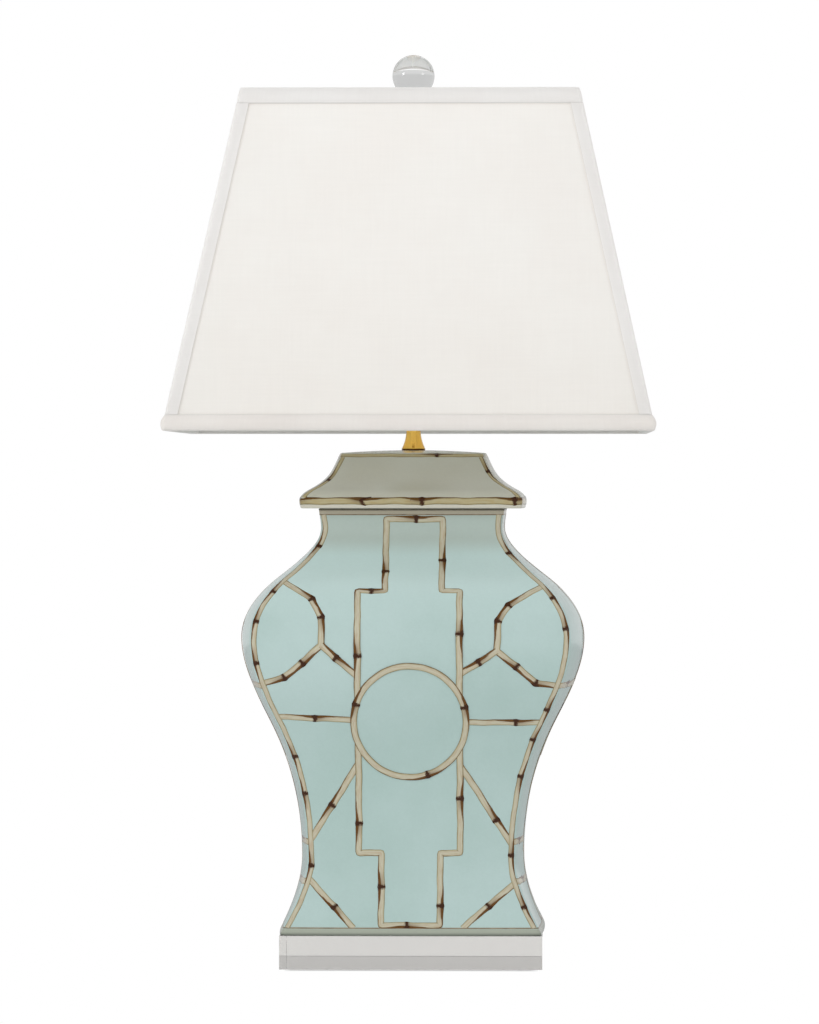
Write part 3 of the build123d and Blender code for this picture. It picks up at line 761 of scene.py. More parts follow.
# %% Frame and ring of the front
upper_left, upper_right = -22.4, 27.8
middle_left, middle_right = -46.3, 43.7
lower_left, lower_right = -26.3, 26.0
top_bar, upper_step, lower_step, bottom_bar = 368.6, 305.6, 72.4, 9.2
ring_centre = np.array([-0.4, 189.9])
ring_radius = 49.8
ring_angle = np.linspace(np.pi, -np.pi, 121)[:-1]
ring_path = ring_centre + ring_radius * np.stack([np.cos(ring_angle), np.sin(ring_angle)], axis=1)
ring_joints = [(-49.1, 205.1), (48.3, 203.4), (15.8, 141.3)]
rises = np.sqrt(
    ring_radius ** 2 - (np.array([middle_left, middle_right]) - ring_centre[0]) ** 2)
left_top, right_top = ring_centre[1] + rises
left_bottom, right_bottom = ring_centre[1] - rises
frame_stalks = [
    ([(middle_left, left_top), (middle_left, upper_step), (upper_left, upper_step),
      (upper_left, top_bar), (upper_right, top_bar), (upper_right, upper_step),
      (middle_right, upper_step), (middle_right, right_top)],
     [(middle_left, 248.8), (-33.7, upper_step), (upper_left, 321.7), (4.3, top_bar),
      (upper_right, 332.7), (middle_right, 268.1)]),
    ([(middle_right, right_bottom), (middle_right, lower_step), (lower_right, lower_step),
      (lower_right, bottom_bar), (lower_left, bottom_bar), (lower_left, lower_step),
      (middle_left, lower_step), (middle_left, left_bottom)],
     [(middle_right, 120.6), (lower_right, 26.8), (-3.7, bottom_bar), (lower_left, 42.5),
      (middle_left, 98.2)]),
]
print(len(frame_stalks), "stalks and a ring make the frame")

# %% Branches and borders of the front
edge = 2.0
high_bar, waist_bar, low_bar = 222.0, 82.0, 47.0
branch_stalks = [
    ([(-jar_ridge(194.2) + edge, 194.2), (-50.0, 191.6)], [(-84.1, 192.0)]),
    ([(49.5, 189.4), (jar_ridge(189.1) - edge, 189.1)], [(93.5, 188.8)]),
    ([(-113.6, 314.4), (-87.0, 298.6), (-78.1, 282.9), (-78.0, 258.4), (-95.2, 242.4),
      (-111.2, 229.1), (-128.9, 224.6), (-jar_ridge(high_bar) - edge, high_bar)],
     [(-87.0, 298.6), (-78.1, 282.9), (-95.2, 242.4), (-111.2, 229.1)]),
    ([(-78.0, 258.4), (-46.0, 229.8)], [(-65.6, 246.4)]),
    ([(jar_ridge(high_bar) + edge, high_bar), (127.7, 222.2), (111.3, 224.6), (94.0, 238.9),
      (76.7, 253.1), (77.7, 279.4), (87.0, 293.4), (115.6, 309.0)],
     [(111.3, 224.6), (94.0, 238.9), (77.7, 279.4), (87.0, 293.4)]),
    ([(43.4, 232.0), (76.7, 253.1)], [(61.4, 243.4)]),
    ([(-jar_ridge(83.0) + edge, 83.0), (-46.4, 152.0)], [(-68.6, 114.2)]),
    ([(43.8, 150.8), (jar_ridge(79.0) - edge, 79.0)], [(73.6, 99.8)]),
    ([(-50.6, 6.8), (-jar_ridge(50.0) + edge, 50.0)], [(-69.3, 23.3)]),
    ([(jar_ridge(46.0) - edge, 46.0), (45.8, 6.8)], [(69.0, 26.3)]),
]
border_joints = {
    1: [338.8, 299.4, 272.2, 200.3, 174.2, 140.0, 69.4, 24.0],
    -1: [345.0, 304.6, 279.3, 242.3, 158.0, 124.8, 60.0],
}
print(len(branch_stalks), "branches and", len(border_joints), "borders on the front")

# %% Bars and slim frame of the sides
side_slim = 0.65
bar_stalks = []
for up, left, right in [(high_bar, middle_left, middle_right),
                        (waist_bar, middle_left, middle_right),
                        (low_bar, lower_left, lower_right)]:
    ridge, left, right = jar_ridge(up), side_slim * left, side_slim * right
    bar_stalks.append(([(-ridge - edge, up), (left, up)], [(0.4 * left - 0.6 * ridge, up)]))
    bar_stalks.append(([(right, up), (ridge + edge, up)], [(0.6 * right + 0.4 * ridge, up)]))


def slimmed(points, slim):
    """Points of a frame drawn in towards the middle of its side; those level with the ring are
    drawn in upright as well, so that the ring stays round."""
    points = np.array(points, float)
    rise = points[:, 1] - ring_centre[1]
    rise = np.where(np.abs(rise) > ring_radius + 1, rise, slim * rise)
    return np.stack([slim * points[:, 0], ring_centre[1] + rise], axis=1)


print(len(bar_stalks), "bars on a side, and the frame at", side_slim, "of its width")

# %% [markdown]
# ### The paint
# A cane is painted wet: a pale core, olive edges, one brown line along its outer side, and dark
# nodes that bleed into the stalk on one side. The ribbon's UV tells where across it a point
# lies, and the two numbers that ride along tell how far off the nodes are, so one material
# paints them all. Noise moves every limit a little, as a brush does.

# %% Paint of the canes
def attribute(tree, name):
    """Value that rides on a piece's points under a name."""
    return add_node(tree, "ShaderNodeAttribute", attribute_name=name).outputs["Fac"]


def cane_finish(name, pale, warm, edge_tone, brown, dark, line):
    """Paint of a stalk. Across it: a pale core, olive edges, and a brown line on the outer side
    that is strong near a node and as strong as line says elsewhere. Along it: faint streaks,
    dark nodes, and a brown fade beside each node. Noise shifts the distances, so that no mark
    has a ruled edge."""
    material, tree, shader = new_finish(name, IOR=1.5, Specular_IOR_Level=0.2)
    over = axes_of(tree, "UV")[1]
    slow, quick = (
        math_node(tree, "SUBTRACT", noise_in(tree, "UV", 1.6, 3.0, stretched=stretched), 0.5)
        for stretched in ((60.0, 3.0, 1.0), (420.0, 2.6, 1.0)))
    near, tail = attribute(tree, "node_near"), attribute(tree, "node_tail")
    shifted = math_node(tree, "ADD", over, math_node(tree, "MULTIPLY", slow, 0.3))
    wandering = math_node(tree, "ADD", near, math_node(tree, "MULTIPLY", slow, 34.0))
    middle = math_node(tree, "ABSOLUTE", math_node(tree, "SUBTRACT", shifted, 0.5))
    tone = mix_colours(tree, ramp(tree, slow, -0.12, 0.2), pale, warm)
    tone = mix_colours(tree, ramp(tree, middle, 0.20, 0.46), tone, edge_tone)
    tone = mix_colours(tree, ramp(tree, shifted, 0.14, 0.0, 0.0, 0.5), tone, brown)
    line_width = ramp(tree, wandering, 24.0, 0.0, 0.12, 0.46)
    outer = ramp(tree, math_node(tree, "ADD", shifted, line_width), 0.93, 1.06)
    strong = ramp(tree, wandering, 40.0, 4.0, line, 1.0)
    tone = mix_colours(tree, math_node(tree, "MULTIPLY", outer, strong), tone, brown)
    spread = ramp(tree, over, 0.0, 0.8, 0.25, 1.0)
    fade = math_node(tree, "MULTIPLY", ramp(tree, tail, 17.0, 0.0), spread)
    tone = mix_colours(tree, math_node(tree, "MULTIPLY", fade, 0.8), tone, brown)
    ragged = math_node(tree, "ADD", near, math_node(tree, "MULTIPLY", quick, 4.0))
    notch = math_node(tree, "MULTIPLY", math_node(tree, "POWER", over, 3.0), 1.8)
    notched = math_node(tree, "SUBTRACT", ragged, notch)
    tone = mix_colours(tree, ramp(tree, notched, 2.7, 0.7), tone, dark)
    tree.links.new(tone, shader.inputs["Base Color"])
    gloss = use_group(tree, grain, Scale=80.0, Low=0.1, High=0.16)["Value"]
    tree.links.new(gloss, shader.inputs["Roughness"])
    return material


cane_paint = cane_finish(
    "cane_paint", pale=srgb(195, 191, 169), warm=srgb(186, 171, 146),
    edge_tone=srgb(171, 162, 128), brown=srgb(98, 64, 24), dark=srgb(60, 30, 6), line=0.65)
# The lid's canes are darker and more olive than the jar's: painted shade of the lampshade above
# them.
lid_cane_paint = cane_finish(
    "lid_cane_paint", pale=srgb(182, 172, 136), warm=srgb(176, 159, 116),
    edge_tone=srgb(151, 140, 99), brown=srgb(92, 64, 28), dark=srgb(60, 30, 6), line=0.85)
print("paints:", cane_paint.name, lid_cane_paint.name)

# %% Line paints
def plain_finish(name, low, high, scale, rough, bump_depth=0.0, **sockets):
    """Finish with a cloudy colour between two tones, grainy gloss and, if asked, a fine bump."""
    material, tree, shader = new_finish(name, **sockets)
    tone = use_group(tree, cloudy, Scale=scale, Low=low, High=high)
    gloss = use_group(tree, grain, Scale=scale * 6, Low=rough[0], High=rough[1])
    tree.links.new(tone["Color"], shader.inputs["Base Color"])
    tree.links.new(gloss["Value"], shader.inputs["Roughness"])
    if bump_depth:
        surface = use_group(tree, grain, Scale=scale * 40, Low=0.0, High=1.0)
        bump(tree, shader, surface["Value"], 0.5, bump_depth)
    return material


line_paint = plain_finish(
    "brown_line_paint", srgb(118, 104, 82), srgb(146, 132, 108), 120.0, (0.16, 0.26), IOR=1.5)
# The dark paint is for the lip's top edge: painted shadow of the gap under the lid.
shadow_paint = plain_finish(
    "painted_lip_gap_shadow", srgb(74, 70, 56), srgb(96, 90, 72), 120.0, (0.2, 0.3), IOR=1.5)
print("paints:", line_paint.name, shadow_paint.name)

# %% [markdown]
# ### The jar's canes
# Where canes cross, one lies over the other. Each kind of stalk has a small lift of its own, so
# that branches pass under the frame and the ring lies on top. Surfaces in the same place would
# flicker.

# %% Canes on the jar
def joined(surfaces):
    """Several closed surfaces as one: their arrays in a row, with point numbers moved on."""
    starts = np.cumsum([0] + [len(surface[0]) for surface in surfaces[:-1]])
    return (
        np.vstack([surface[0] for surface in surfaces]),
        np.vstack([surface[1] + start for surface, start in zip(surfaces, starts)]),
        np.vstack([surface[2] + start for surface, start in zip(surfaces, starts)]),
        np.vstack([surface[3] for surface in surfaces]),
        np.vstack([surface[4] for surface in surfaces]),
    )


def painted(name, stalks, finish):
    """Many ribbons as one piece on the stand, with their node distances."""
    near, tail = (np.concatenate([values[i] for ribbon, values in stalks]) for i in (0, 1))
    surface = joined([ribbon for ribbon, values in stalks])
    add_piece(name, surface, "stand", finish,
              sharp=80, values={"node_near": near, "node_tail": tail})


border_inset, border_width, border_lift = 2.7, 5.3, 0.22
border_heights = np.linspace(foot_line + 0.2, lip_line - 0.2, 120)
side_names = ["front", "right", "back", "left"]


def border_stalk(surface, ridge, heights, hand, joint_heights, inset, width, lift):
    """Stalk beside a corner; it runs up on the left and down on the right, so that its outer
    side, which has the brown line, is the corner's side."""
    path = np.stack([hand * (ridge(heights) - inset), heights], axis=1)[::-hand]
    joints = [(hand * (ridge(up) - inset), up) for up in joint_heights]
    return stalk(surface, path, joints, width, lift)


for quarter, side in enumerate(side_names):
    def outside(along, height, quarter=quarter):
        """One side of the jar between its two level lines: no stalk passes them."""
        return jar_point(along, np.clip(height, foot_line, lip_line), quarter)
    if side in ("front", "back"):
        branches, borders, slim = branch_stalks, (1, -1), 1.0
    else:
        branches, borders, slim = bar_stalks, (), side_slim
    stalks = [stalk(outside, eased(path), joints, lift=0.10 + 0.004 * number)
              for number, (path, joints) in enumerate(branches)]
    stalks += [stalk(outside, eased(slimmed(path, slim)), slimmed(joints, slim), lift=0.18)
               for path, joints in frame_stalks]
    stalks.append(stalk(outside, slimmed(ring_path, slim), slimmed(ring_joints, slim), lift=0.26,
                        wrap=(0, 0), sway=0.1))
    stalks += [border_stalk(outside, jar_ridge, border_heights, hand, border_joints[hand],
                            border_inset, border_width, border_lift)
               for hand in borders]
    painted("lattice_" + side, stalks, cane_paint)

# %% [markdown]
# ### Level lines and the lid's canes
# Fine lines run round the lip and the foot, as drawn on a banding wheel, and the lid has a
# thick cane round its eave, a thin one round its crown and one beside each hip. A dark line at the
# top of the lip is painted shadow of the gap under the lid. A line round the jar could be a curve
# with a bevel, but as a ribbon like the others its path closes on itself.

# %% Lines round the lip and the foot
loop_marks = 400


def loop_stalk(surface, ridge, height, width, lift, across=(), sway=0.0):
    """Ribbon round all four sides at one height, with the same nodes on each side."""
    side_length = 2 * ridge(height)
    round_trip = 4 * side_length
    along = np.linspace(0, round_trip, loop_marks + 1)[:-1]
    path = np.stack([along, np.full(loop_marks, height)], axis=1)
    joints = [((turn * side_length + place) % round_trip, height)
              for turn in range(4) for place in across]
    return stalk(surface, path, joints, width, lift, (round_trip, 0), sway)


lip_and_foot = [
    loop_stalk(jar_point, jar_ridge, height, 1.1, 0.16) for height in (lip_line, foot_line)]
painted("lip_and_foot_lines", lip_and_foot, line_paint)
# Painted shadow: a dark line round the top of the lip, in the gap under the lid.
lip_edge = jar_height - 1.2
painted("lip_gap_shadow", [loop_stalk(jar_point, jar_ridge, lip_edge, 1.3, 0.1)], shadow_paint)

# %% Canes on the lid
eave_height, crown_height = 6.6, 47.2
lid_stalks = [
    loop_stalk(lid_point, lid_ridge, eave_height, 6.6, 0.18, (-44.0, 10.0, 92.0), 0.25),
    loop_stalk(lid_point, lid_ridge, crown_height, 3.6, 0.18, (22.0,), 0.15),
]
hip_inset, hip_width, hip_lift = 1.9, 3.9, 0.14
hip_heights = np.linspace(eave_height + 3.0, crown_height - 1.6, 40)
for quarter in (0, 2):
    def lid_outside(along, height, quarter=quarter):
        """One side of the lid."""
        return lid_point(along, height, quarter)
    for hand in (1, -1):
        lid_stalks.append(border_stalk(
            lid_outside, lid_ridge, hip_heights, hand, [29.0 + 4.0 * hand],
            hip_inset, hip_width, hip_lift))
painted("lid_canes", lid_stalks, lid_cane_paint)

# %% [markdown]
# ## The clear block
# The block is cast acrylic, polished on all sides with its edges just broken. It could be a
# cube with a Bevel modifier, but the same square rings give it rounded edges with rows of
# points close to them, so that the large faces shade dead flat, as clear plastic must. Thick
# plastic has a faint haze, so a part of the light is scattered and not let through.

# %% Clear block
block_low, block_high, block_half = extent("base_block")
block_round = 0.35
edge_row, middle_row = 1.2, 60
block_corner = 0.5
flat_marks = np.array([-1, -0.99, -0.5, 0, 0.5, 0.99, 1])
sine, rise = quarter_arc(6)
block_levels = np.concatenate([
    [block_low] * 2, block_low + block_round * rise,
    [block_low + edge_row, block_high - edge_row],
    block_high - block_round * (1 - sine), [block_high] * 2])
block_insets = np.concatenate([
    [middle_row, edge_row], block_round * (1 - sine), [0, 0], block_round * rise,
    [edge_row, middle_row]])
block_corners = np.maximum(block_corner - block_insets, 0.2)
block_surface = skin(square_rings(
    block_half - block_insets, 0.004, block_corners, block_levels, flat_marks))
acrylic = plain_finish(
    "clear_acrylic", srgb(226, 224, 221), srgb(229, 227, 224), 6.0, (0.005, 0.03),
    IOR=1.49, Transmission_Weight=0.78)
add_piece("clear_block", block_surface, "stand", acrylic, ["base_block"])

# %% [markdown]
# ## Turned pieces
# The brass neck, the finial's base and ball and the bulb were all turned or blown round an
# axis. Each is a half section, its corners softened a little, carried round the lamp's axis.
# So are the four soft domes that keep the block off the table, each round an axis of its own.

# %% Half sections round the axis
curve_steps = 5


def softened(outline, reach):
    """Closed outline whose corners become short curves: between the points at a distance before
    and after a corner runs the quadratic (1-t)^2 a + 2t(1-t) corner + t^2 b."""
    outline = np.array(outline, float)
    before = np.roll(outline, 1, axis=0) - outline
    after = np.roll(outline, -1, axis=0) - outline
    start, end = (points[:, None] for points in cut_corners(outline, before, after, reach))
    t = np.linspace(0, 1, curve_steps)[None, :, None]
    curves = (1 - t) ** 2 * start + 2 * t * (1 - t) * outline[:, None] + t ** 2 * end
    return curves.reshape(-1, 2)


def turned(section, around=72):
    """Rings round the axis from (radius, level) points: (r cos a, r sin a, level)."""
    section = np.asarray(section, float)
    angle = np.linspace(0, 2 * np.pi, around + 1)[:-1]
    x = section[:, :1] * np.cos(angle)
    y = section[:, :1] * np.sin(angle)
    return np.stack([x, y, np.broadcast_to(section[:, 1:], x.shape)], axis=-1)


print("a softened corner has", curve_steps, "points")

# %% [markdown]
# ### Pads
# Clear stick-on domes keep the block off the table. A squashed sphere would be quick, but a half
# section keeps the flat top near the block and the foot on the floor.

# %% Clear pads under the block
pad_low, pad_high, pad_half = extent("base_pads")
pad_radius = 6.0
pad_place = pad_half - pad_radius
pad_top = pad_high - 0.05
pad_edge = pad_high - 0.1
pad_share = np.linspace(0, 1, 14)
pad_dome = np.stack([
    pad_radius * np.sqrt(1 - (0.85 * pad_share) ** 2),
    pad_edge - (pad_edge - pad_low) * pad_share], axis=1)
pad_rings = turned(np.vstack([
    [(1.0, pad_top), (pad_radius - 0.1, pad_top)], pad_dome, [(1.0, pad_low)]]))
clear_pad = plain_finish(
    "clear_pad", srgb(236, 237, 236), srgb(244, 244, 243), 200.0, (0.1, 0.25),
    IOR=1.42, Transmission_Weight=1.0)
pads = [skin(pad_rings + np.array([x, y, 0]) * pad_place) for x in (-1, 1) for y in (-1, 1)]
add_piece("clear_pads", joined(pads), "stand", clear_pad, ["base_pads"])

# %% [markdown]
# ### Brass
# The neck is spun brass that flares to a flange on the lid, and the finial's base is turned from
# bar, with a waist for the fingers. Bevel modifiers would round every edge alike. In a half
# section each edge gets the rounding it needs to catch a thin line of light.

# %% Brass finishes
def metal_finish(name, low, high, rough, foot=0.0, bands=()):
    """Metal with a cloudy tone, bands of other tones by height, and brush strokes in its gloss."""
    material, tree, shader = new_finish(name, Metallic=1.0)
    tone = use_group(tree, cloudy, Scale=55.0, Low=low, High=high)["Color"]
    gloss = use_group(tree, brushed, Scale=160.0, Low=rough[0], High=rough[1])["Value"]
    tree.links.new(height_bands(tree, tone, foot, bands), shader.inputs["Base Color"])
    tree.links.new(gloss, shader.inputs["Roughness"])
    bump(tree, shader, gloss, 0.12, 0.0002)
    return material


neck_low, neck_high, _ = extent("brass_neck")
neck_brass = metal_finish(
    "neck_brass", srgb(252, 196, 90), srgb(255, 208, 104), (0.14, 0.24), neck_low,
    [(1.9, 0.9, srgb(74, 42, 14))])  # painted shade and dark reflection where the flange meets the lid
polished_brass = metal_finish(
    "polished_brass", srgb(200, 160, 86), srgb(222, 184, 108), (0.12, 0.24))
satin_brass = metal_finish(
    "satin_brass", srgb(214, 174, 96), srgb(230, 192, 116), (0.5, 0.65))
print("brass:", neck_brass.name, polished_brass.name, satin_brass.name)

# %% Brass neck
neck_bore, neck_radius, flange_radius = 5.1, 6.4, 10.6
flange_thick, flare_height = 1.5, 18.0
neck_flare = np.linspace(0, 1, 24)
flare = np.stack([
    neck_radius + (flange_radius - neck_radius) * (1 - neck_flare) ** 2.2,
    neck_low + flange_thick + flare_height * neck_flare], axis=1)
flange = softened([
    (neck_bore, neck_low), (flange_radius, neck_low),
    (flange_radius, neck_low + flange_thick)], 0.4)[curve_steps:2 * curve_steps]
neck_section = np.vstack([
    flange, flare, [(neck_radius, neck_high - 0.4), (neck_radius - 0.3, neck_high)],
    [(neck_bore, neck_high), (neck_bore, neck_low)]])
add_piece(
    "neck", skin(turned(neck_section), "loop"), "stand", neck_brass, ["brass_neck"])

# %% Finial base
base_low, base_high, _ = extent("finial_base")
hole_top = extent("harp_stud")[1] + 1.0
hole_radius, cup_radius, cup_waist = 3.15, 7.0, 5.2
near_axis = 0.2
base_outline = [
    (near_axis, hole_top), (hole_radius, hole_top), (hole_radius, base_low),
    (cup_radius, base_low), (cup_radius, base_low + 2.5), (cup_waist, base_low + 2.9),
    (cup_waist, base_high - 2.6), (cup_radius, base_high), (near_axis, base_high)]
seat_top = base_high + 0.4
seat = [(6.2, base_high), (6.0, seat_top), (near_axis, seat_top)]
base_section = np.vstack([
    base_outline[:1], softened(base_outline, 0.5)[curve_steps:-curve_steps], seat])
add_piece(
    "finial_cup", skin(turned(base_section)), "finial", satin_brass,
    ["finial_base"])

# %% [markdown]
# ### The ball
# The clear ball stands on a small flat. A UV sphere would do for looks, but a turned section puts
# the flat on the brass seat and leaves a film of air between them. Without air, glass and brass
# would share a surface, and the ball would not mirror at its foot.

# %% Clear ball
ball_low, ball_high, ball_radius = extent("finial_ball")
ball_centre = ball_high - ball_radius
flat_angle = np.arccos((ball_centre - ball_low) / ball_radius)
polar = np.linspace(flat_angle, np.pi - 0.02, 64)
ball_section = np.vstack([
    [(ball_radius * np.sin(flat_angle) - 0.5, ball_low)],
    np.stack([ball_radius * np.sin(polar), ball_centre - ball_radius * np.cos(polar)], axis=1)])
ball_section[:, 1] = np.maximum(ball_section[:, 1], ball_low + air_film)
crystal = plain_finish(
    "clear_ball", srgb(250, 251, 250), srgb(253, 253, 253), 30.0, (0.0, 0.02),
    IOR=1.49, Transmission_Weight=1.0)
add_piece(
    "finial_ball_clear", skin(turned(ball_section, 96)), "finial", crystal,
    ["finial_ball"])

# %% [markdown]
# ## The bulb
# The bulb hides in the shade, but it shows from below. Its glass is one thin shell, inside
# and outside joined at the neck, frosted by a rough transmission. The screw cap's thread is
# a helix: its radius rises and falls with the height and with the angle round the axis.

# %% Bulb glass
glass_low, glass_high, bulb_radius = extent("bulb_glass")
bulb_middle = glass_high - bulb_radius
bulb_neck = 12.8


def bulb_section(inset):
    """Half section from neck to top: radius eases from neck to sphere, then a quarter circle."""
    t = np.linspace(0, 1, 30)
    neck = bulb_neck + (bulb_radius - bulb_neck) * t * t * (3 - 2 * t)
    angle = np.linspace(0, np.pi / 2 - 0.03, 24)[1:]
    radius = np.concatenate([neck, bulb_radius * np.cos(angle)]) - inset
    level = np.concatenate([
        glass_low + (bulb_middle - glass_low) * t,
        bulb_middle + (bulb_radius - inset) * np.sin(angle)])
    return np.stack([np.maximum(radius, 0.3), level], axis=1)


frosted = plain_finish(
    "frosted_bulb", srgb(240, 239, 235), srgb(247, 246, 243), 40.0, (0.45, 0.6),
    IOR=1.45, Transmission_Weight=0.15)
bulb_rings = turned(np.vstack([bulb_section(1.0)[::-1], bulb_section(0.0)]))
add_piece("bulb", skin(bulb_rings), "bulb", frosted, ["bulb_glass"])

# %% Screw cap
cap_low, cap_high, cap_radius = extent("bulb_cap")
thread_pitch = 3.6
thread_depth = 0.7
thread_low, thread_high = cap_low + 6.2, cap_high - 4
cap_tip = [(1.0, 0.0), (3.8, 0.0), (4.5, 0.7), (4.5, 1.5), (11.6, 6.0)]
cap_section = np.vstack([
    np.array(cap_tip) + (0, cap_low),
    np.stack([np.full(72, cap_radius), np.linspace(cap_low + 6.6, cap_high - 0.3, 72)], axis=1),
    [(cap_radius - 0.4, cap_high), (1.0, cap_high)]])
cap_rings = turned(cap_section)
angle = np.arctan2(cap_rings[..., 1], cap_rings[..., 0])
level = cap_rings[..., 2]
turns = (level - cap_low) / thread_pitch
fade = np.clip((level - thread_low) / 2, 0, 1) * np.clip((thread_high - level) / 2, 0, 1)
wave = 1 - thread_depth / cap_radius * fade * (0.5 - 0.5 * np.cos(2 * np.pi * turns - angle))
cap_rings[..., :2] *= wave[..., None]
aluminium = metal_finish("thin_aluminium", srgb(186, 187, 188), srgb(212, 212, 211), (0.25, 0.4))
add_piece("bulb_screw_cap", skin(cap_rings), "bulb", aluminium, ["bulb_cap"])

# %% [markdown]
# ## The shade
# Four trapezoids of off-white cloth with a white lining are stretched over a wire frame. Tapes
# cover the corners, and folded tapes bind the top and bottom hems: each goes round its wire
# ring and back to the inside of the cloth. Stretched cloth is flat, so each panel is a thin
# flat sheet with its own weave, not a simulation.

# %% Shade measures and cloth
hem_low, _, hem_half = extent("shade_bottom_binding")
tape_low, hem_high, tape_half = extent("shade_top_binding")
taper = (hem_half - tape_half) / (tape_low - hem_low)
shade_corner = 2.2
nearly_flat = 0.01


def shade_half(level):
    """Outer half width of the shade at a level; it shrinks evenly towards the top."""
    return hem_half - taper * (np.asarray(level, float) - hem_low)


def cloth_finish(name, low, high, threads, depth):
    """Woven cloth: two crossed sets of threads raise and shade it, and slubs vary its tone.
    Painted shade darkens it a little towards the hem and more on the lowest two millimetres, a
    painted shadow line darkens it along the tapes' edges, where a value on the points is 1, and a
    white lining covers it where the lining value is 1. Subsurface light lets it glow through."""
    material, tree, shader = new_finish(
        name, IOR=1.45, Sheen_Weight=0.12, Sheen_Roughness=0.5,
        Subsurface_Weight=0.7, Subsurface_Radius=(1, 1, 1), Subsurface_Scale=0.003)
    weave = use_group(tree, woven, Threads=threads, Slub=0.35)
    tone = use_group(tree, cloudy, Scale=14.0, Low=low, High=high)["Color"]
    thread = ramp(tree, weave["Tone"], 0.0, 1.0, 0.992, 1.006)
    tone = mix_colours(tree, 1.0, tone, thread, "MULTIPLY")
    level = axes_of(tree, "Object")[2]
    # Painted shade: darker towards the hem, and darker still on the lowest two millimetres, the
    # tape's underside.
    for reach, share in ((170.0, 0.92), (2.2, 0.88)):
        painted_hem_shade = ramp(tree, level, hem_low * MM, (hem_low + reach) * MM, share, 1.0)
        tone = mix_colours(tree, 1.0, tone, painted_hem_shade, "MULTIPLY")
    # Painted shadow line where a tape's edge stands proud of the cloth.
    tone = mix_colours(tree, attribute(tree, "tape_edge_shadow"), tone, srgb(204, 199, 195))
    tone = mix_colours(tree, attribute(tree, "lining"), tone, srgb(250, 250, 249))
    tree.links.new(tone, shader.inputs["Base Color"])
    rough = use_group(tree, grain, Scale=500.0, Low=0.78, High=0.95)["Value"]
    tree.links.new(rough, shader.inputs["Roughness"])
    bump(tree, shader, weave["Height"], 0.25, depth)
    return material


panel_cloth = cloth_finish(
    "panel_cloth", srgb(245, 239, 232), srgb(247, 242, 235), threads=1500.0, depth=0.00012)
tape_cloth = cloth_finish(
    "tape_cloth", srgb(242, 238, 234), srgb(246, 243, 239), threads=1100.0, depth=0.00016)
# The bottom tape's cloth is darker than the top tape's, though it is the same tape: painted shade
# on the hem.
shaded_hem_cloth = cloth_finish(
    "shaded_hem_cloth", srgb(237, 232, 227), srgb(241, 237, 232), threads=1100.0, depth=0.00016)
print("shade", round(hem_half * 2), "mm at the hem,", round(hem_high - hem_low), "mm tall")

# %% Panels
panel_depth = 0.9
panel_thick = 0.9
panel_marks = 41
panel_low, panel_high = hem_low + 1.0, hem_high - 1.0


def panel_rings(quarter):
    """Closed rings up a panel: its outer face from left to right, its inner face back again."""
    across = np.linspace(-1, 1, panel_marks)
    level = np.linspace(panel_low, panel_high, panel_marks)
    outer = shade_half(level) - panel_depth
    inner = outer - panel_thick
    width = inner - 0.4
    x = width[:, None] * np.concatenate([across, across[::-1]])
    y = -np.repeat(np.stack([outer, inner], axis=1), panel_marks, axis=1)
    slant = np.linspace(0, np.hypot(panel_high - panel_low, outer[0] - outer[-1]), panel_marks)
    uv = np.stack([x, np.broadcast_to(slant[:, None], x.shape)], axis=-1) * MM
    uv = np.concatenate([uv, uv[:, :1]], axis=1)
    x, y = quarter_turned(x, y, quarter)
    rings = np.stack([x, y, np.broadcast_to(level[:, None], x.shape)], axis=-1)
    return rings, uv, width, slant[-1]


lined = np.append(np.tile(np.repeat([0.0, 1.0], panel_marks), panel_marks), [0.0, 0.0])
for quarter, side in enumerate(side_names):
    rings, uv, width, slant = panel_rings(quarter)
    add_piece(
        "panel_" + side, skin(rings, "poles", uv), "shade", panel_cloth,
        ["shade_panel_" + side], values={"lining": lined})

# %% [markdown]
# ### Hem tapes
# A tape is glued over each ring wire: it bulges a little outside, turns round the wire and ends
# on the inside of the cloth. A flat strip with a Solidify modifier would miss the fold, so the
# fold's cross-section is drawn once and carried round the square.

# %% Hem tapes
tape_thick = 0.8
tape_height = 14.4
fold_width = 8.2


def hem_tape(edge, inward, swell):
    """Rings of a tape folded over a wire and back to the cloth. Its cross-section in (inset,
    distance from the edge) swells on the outside by swell times sin(pi * share of the height)."""
    rise = np.linspace(tape_height, 1.4, 12)
    outside = np.stack([0.05 - swell * np.sin(np.pi * (rise - 0.6) / tape_height), rise], axis=1)
    fold = [
        (0.25, 0.45), (0.8, 0.05), (1.6, 0.0), (fold_width - 1.6, 0.0), (fold_width - 0.7, 0.1),
        (fold_width - 0.15, 0.6), (fold_width, 1.4), (fold_width, 6.0), (fold_width - 0.8, 8.2),
        (2.6, 12.6)]
    back = [
        (1.9, 12.2), (fold_width - 1.6, 7.6), (fold_width - tape_thick, 5.8),
        (fold_width - tape_thick, 1.6), (fold_width - 1.5, 0.9), (1.6, 0.9), (tape_thick, 1.6),
        (tape_thick, tape_height)]
    section = np.vstack([outside, fold, back])
    level = edge + inward * section[:, 1]
    half = shade_half(level) - section[:, 0]
    rings = square_rings(half, nearly_flat, np.maximum(shade_corner - section[:, 0], 0.4), level)
    span = np.cumsum(np.linalg.norm(np.diff(section, axis=0, append=section[:1]), axis=1))
    around = np.linspace(0, 8 * half.mean(), rings.shape[1] + 1)
    uv = np.stack(np.meshgrid(np.concatenate([[0], span]), around, indexing="ij"), axis=-1) * MM
    return skin(rings, "loop", uv), rings.shape


top_surface, (rows, columns, _) = hem_tape(hem_high, -1, 0.7)
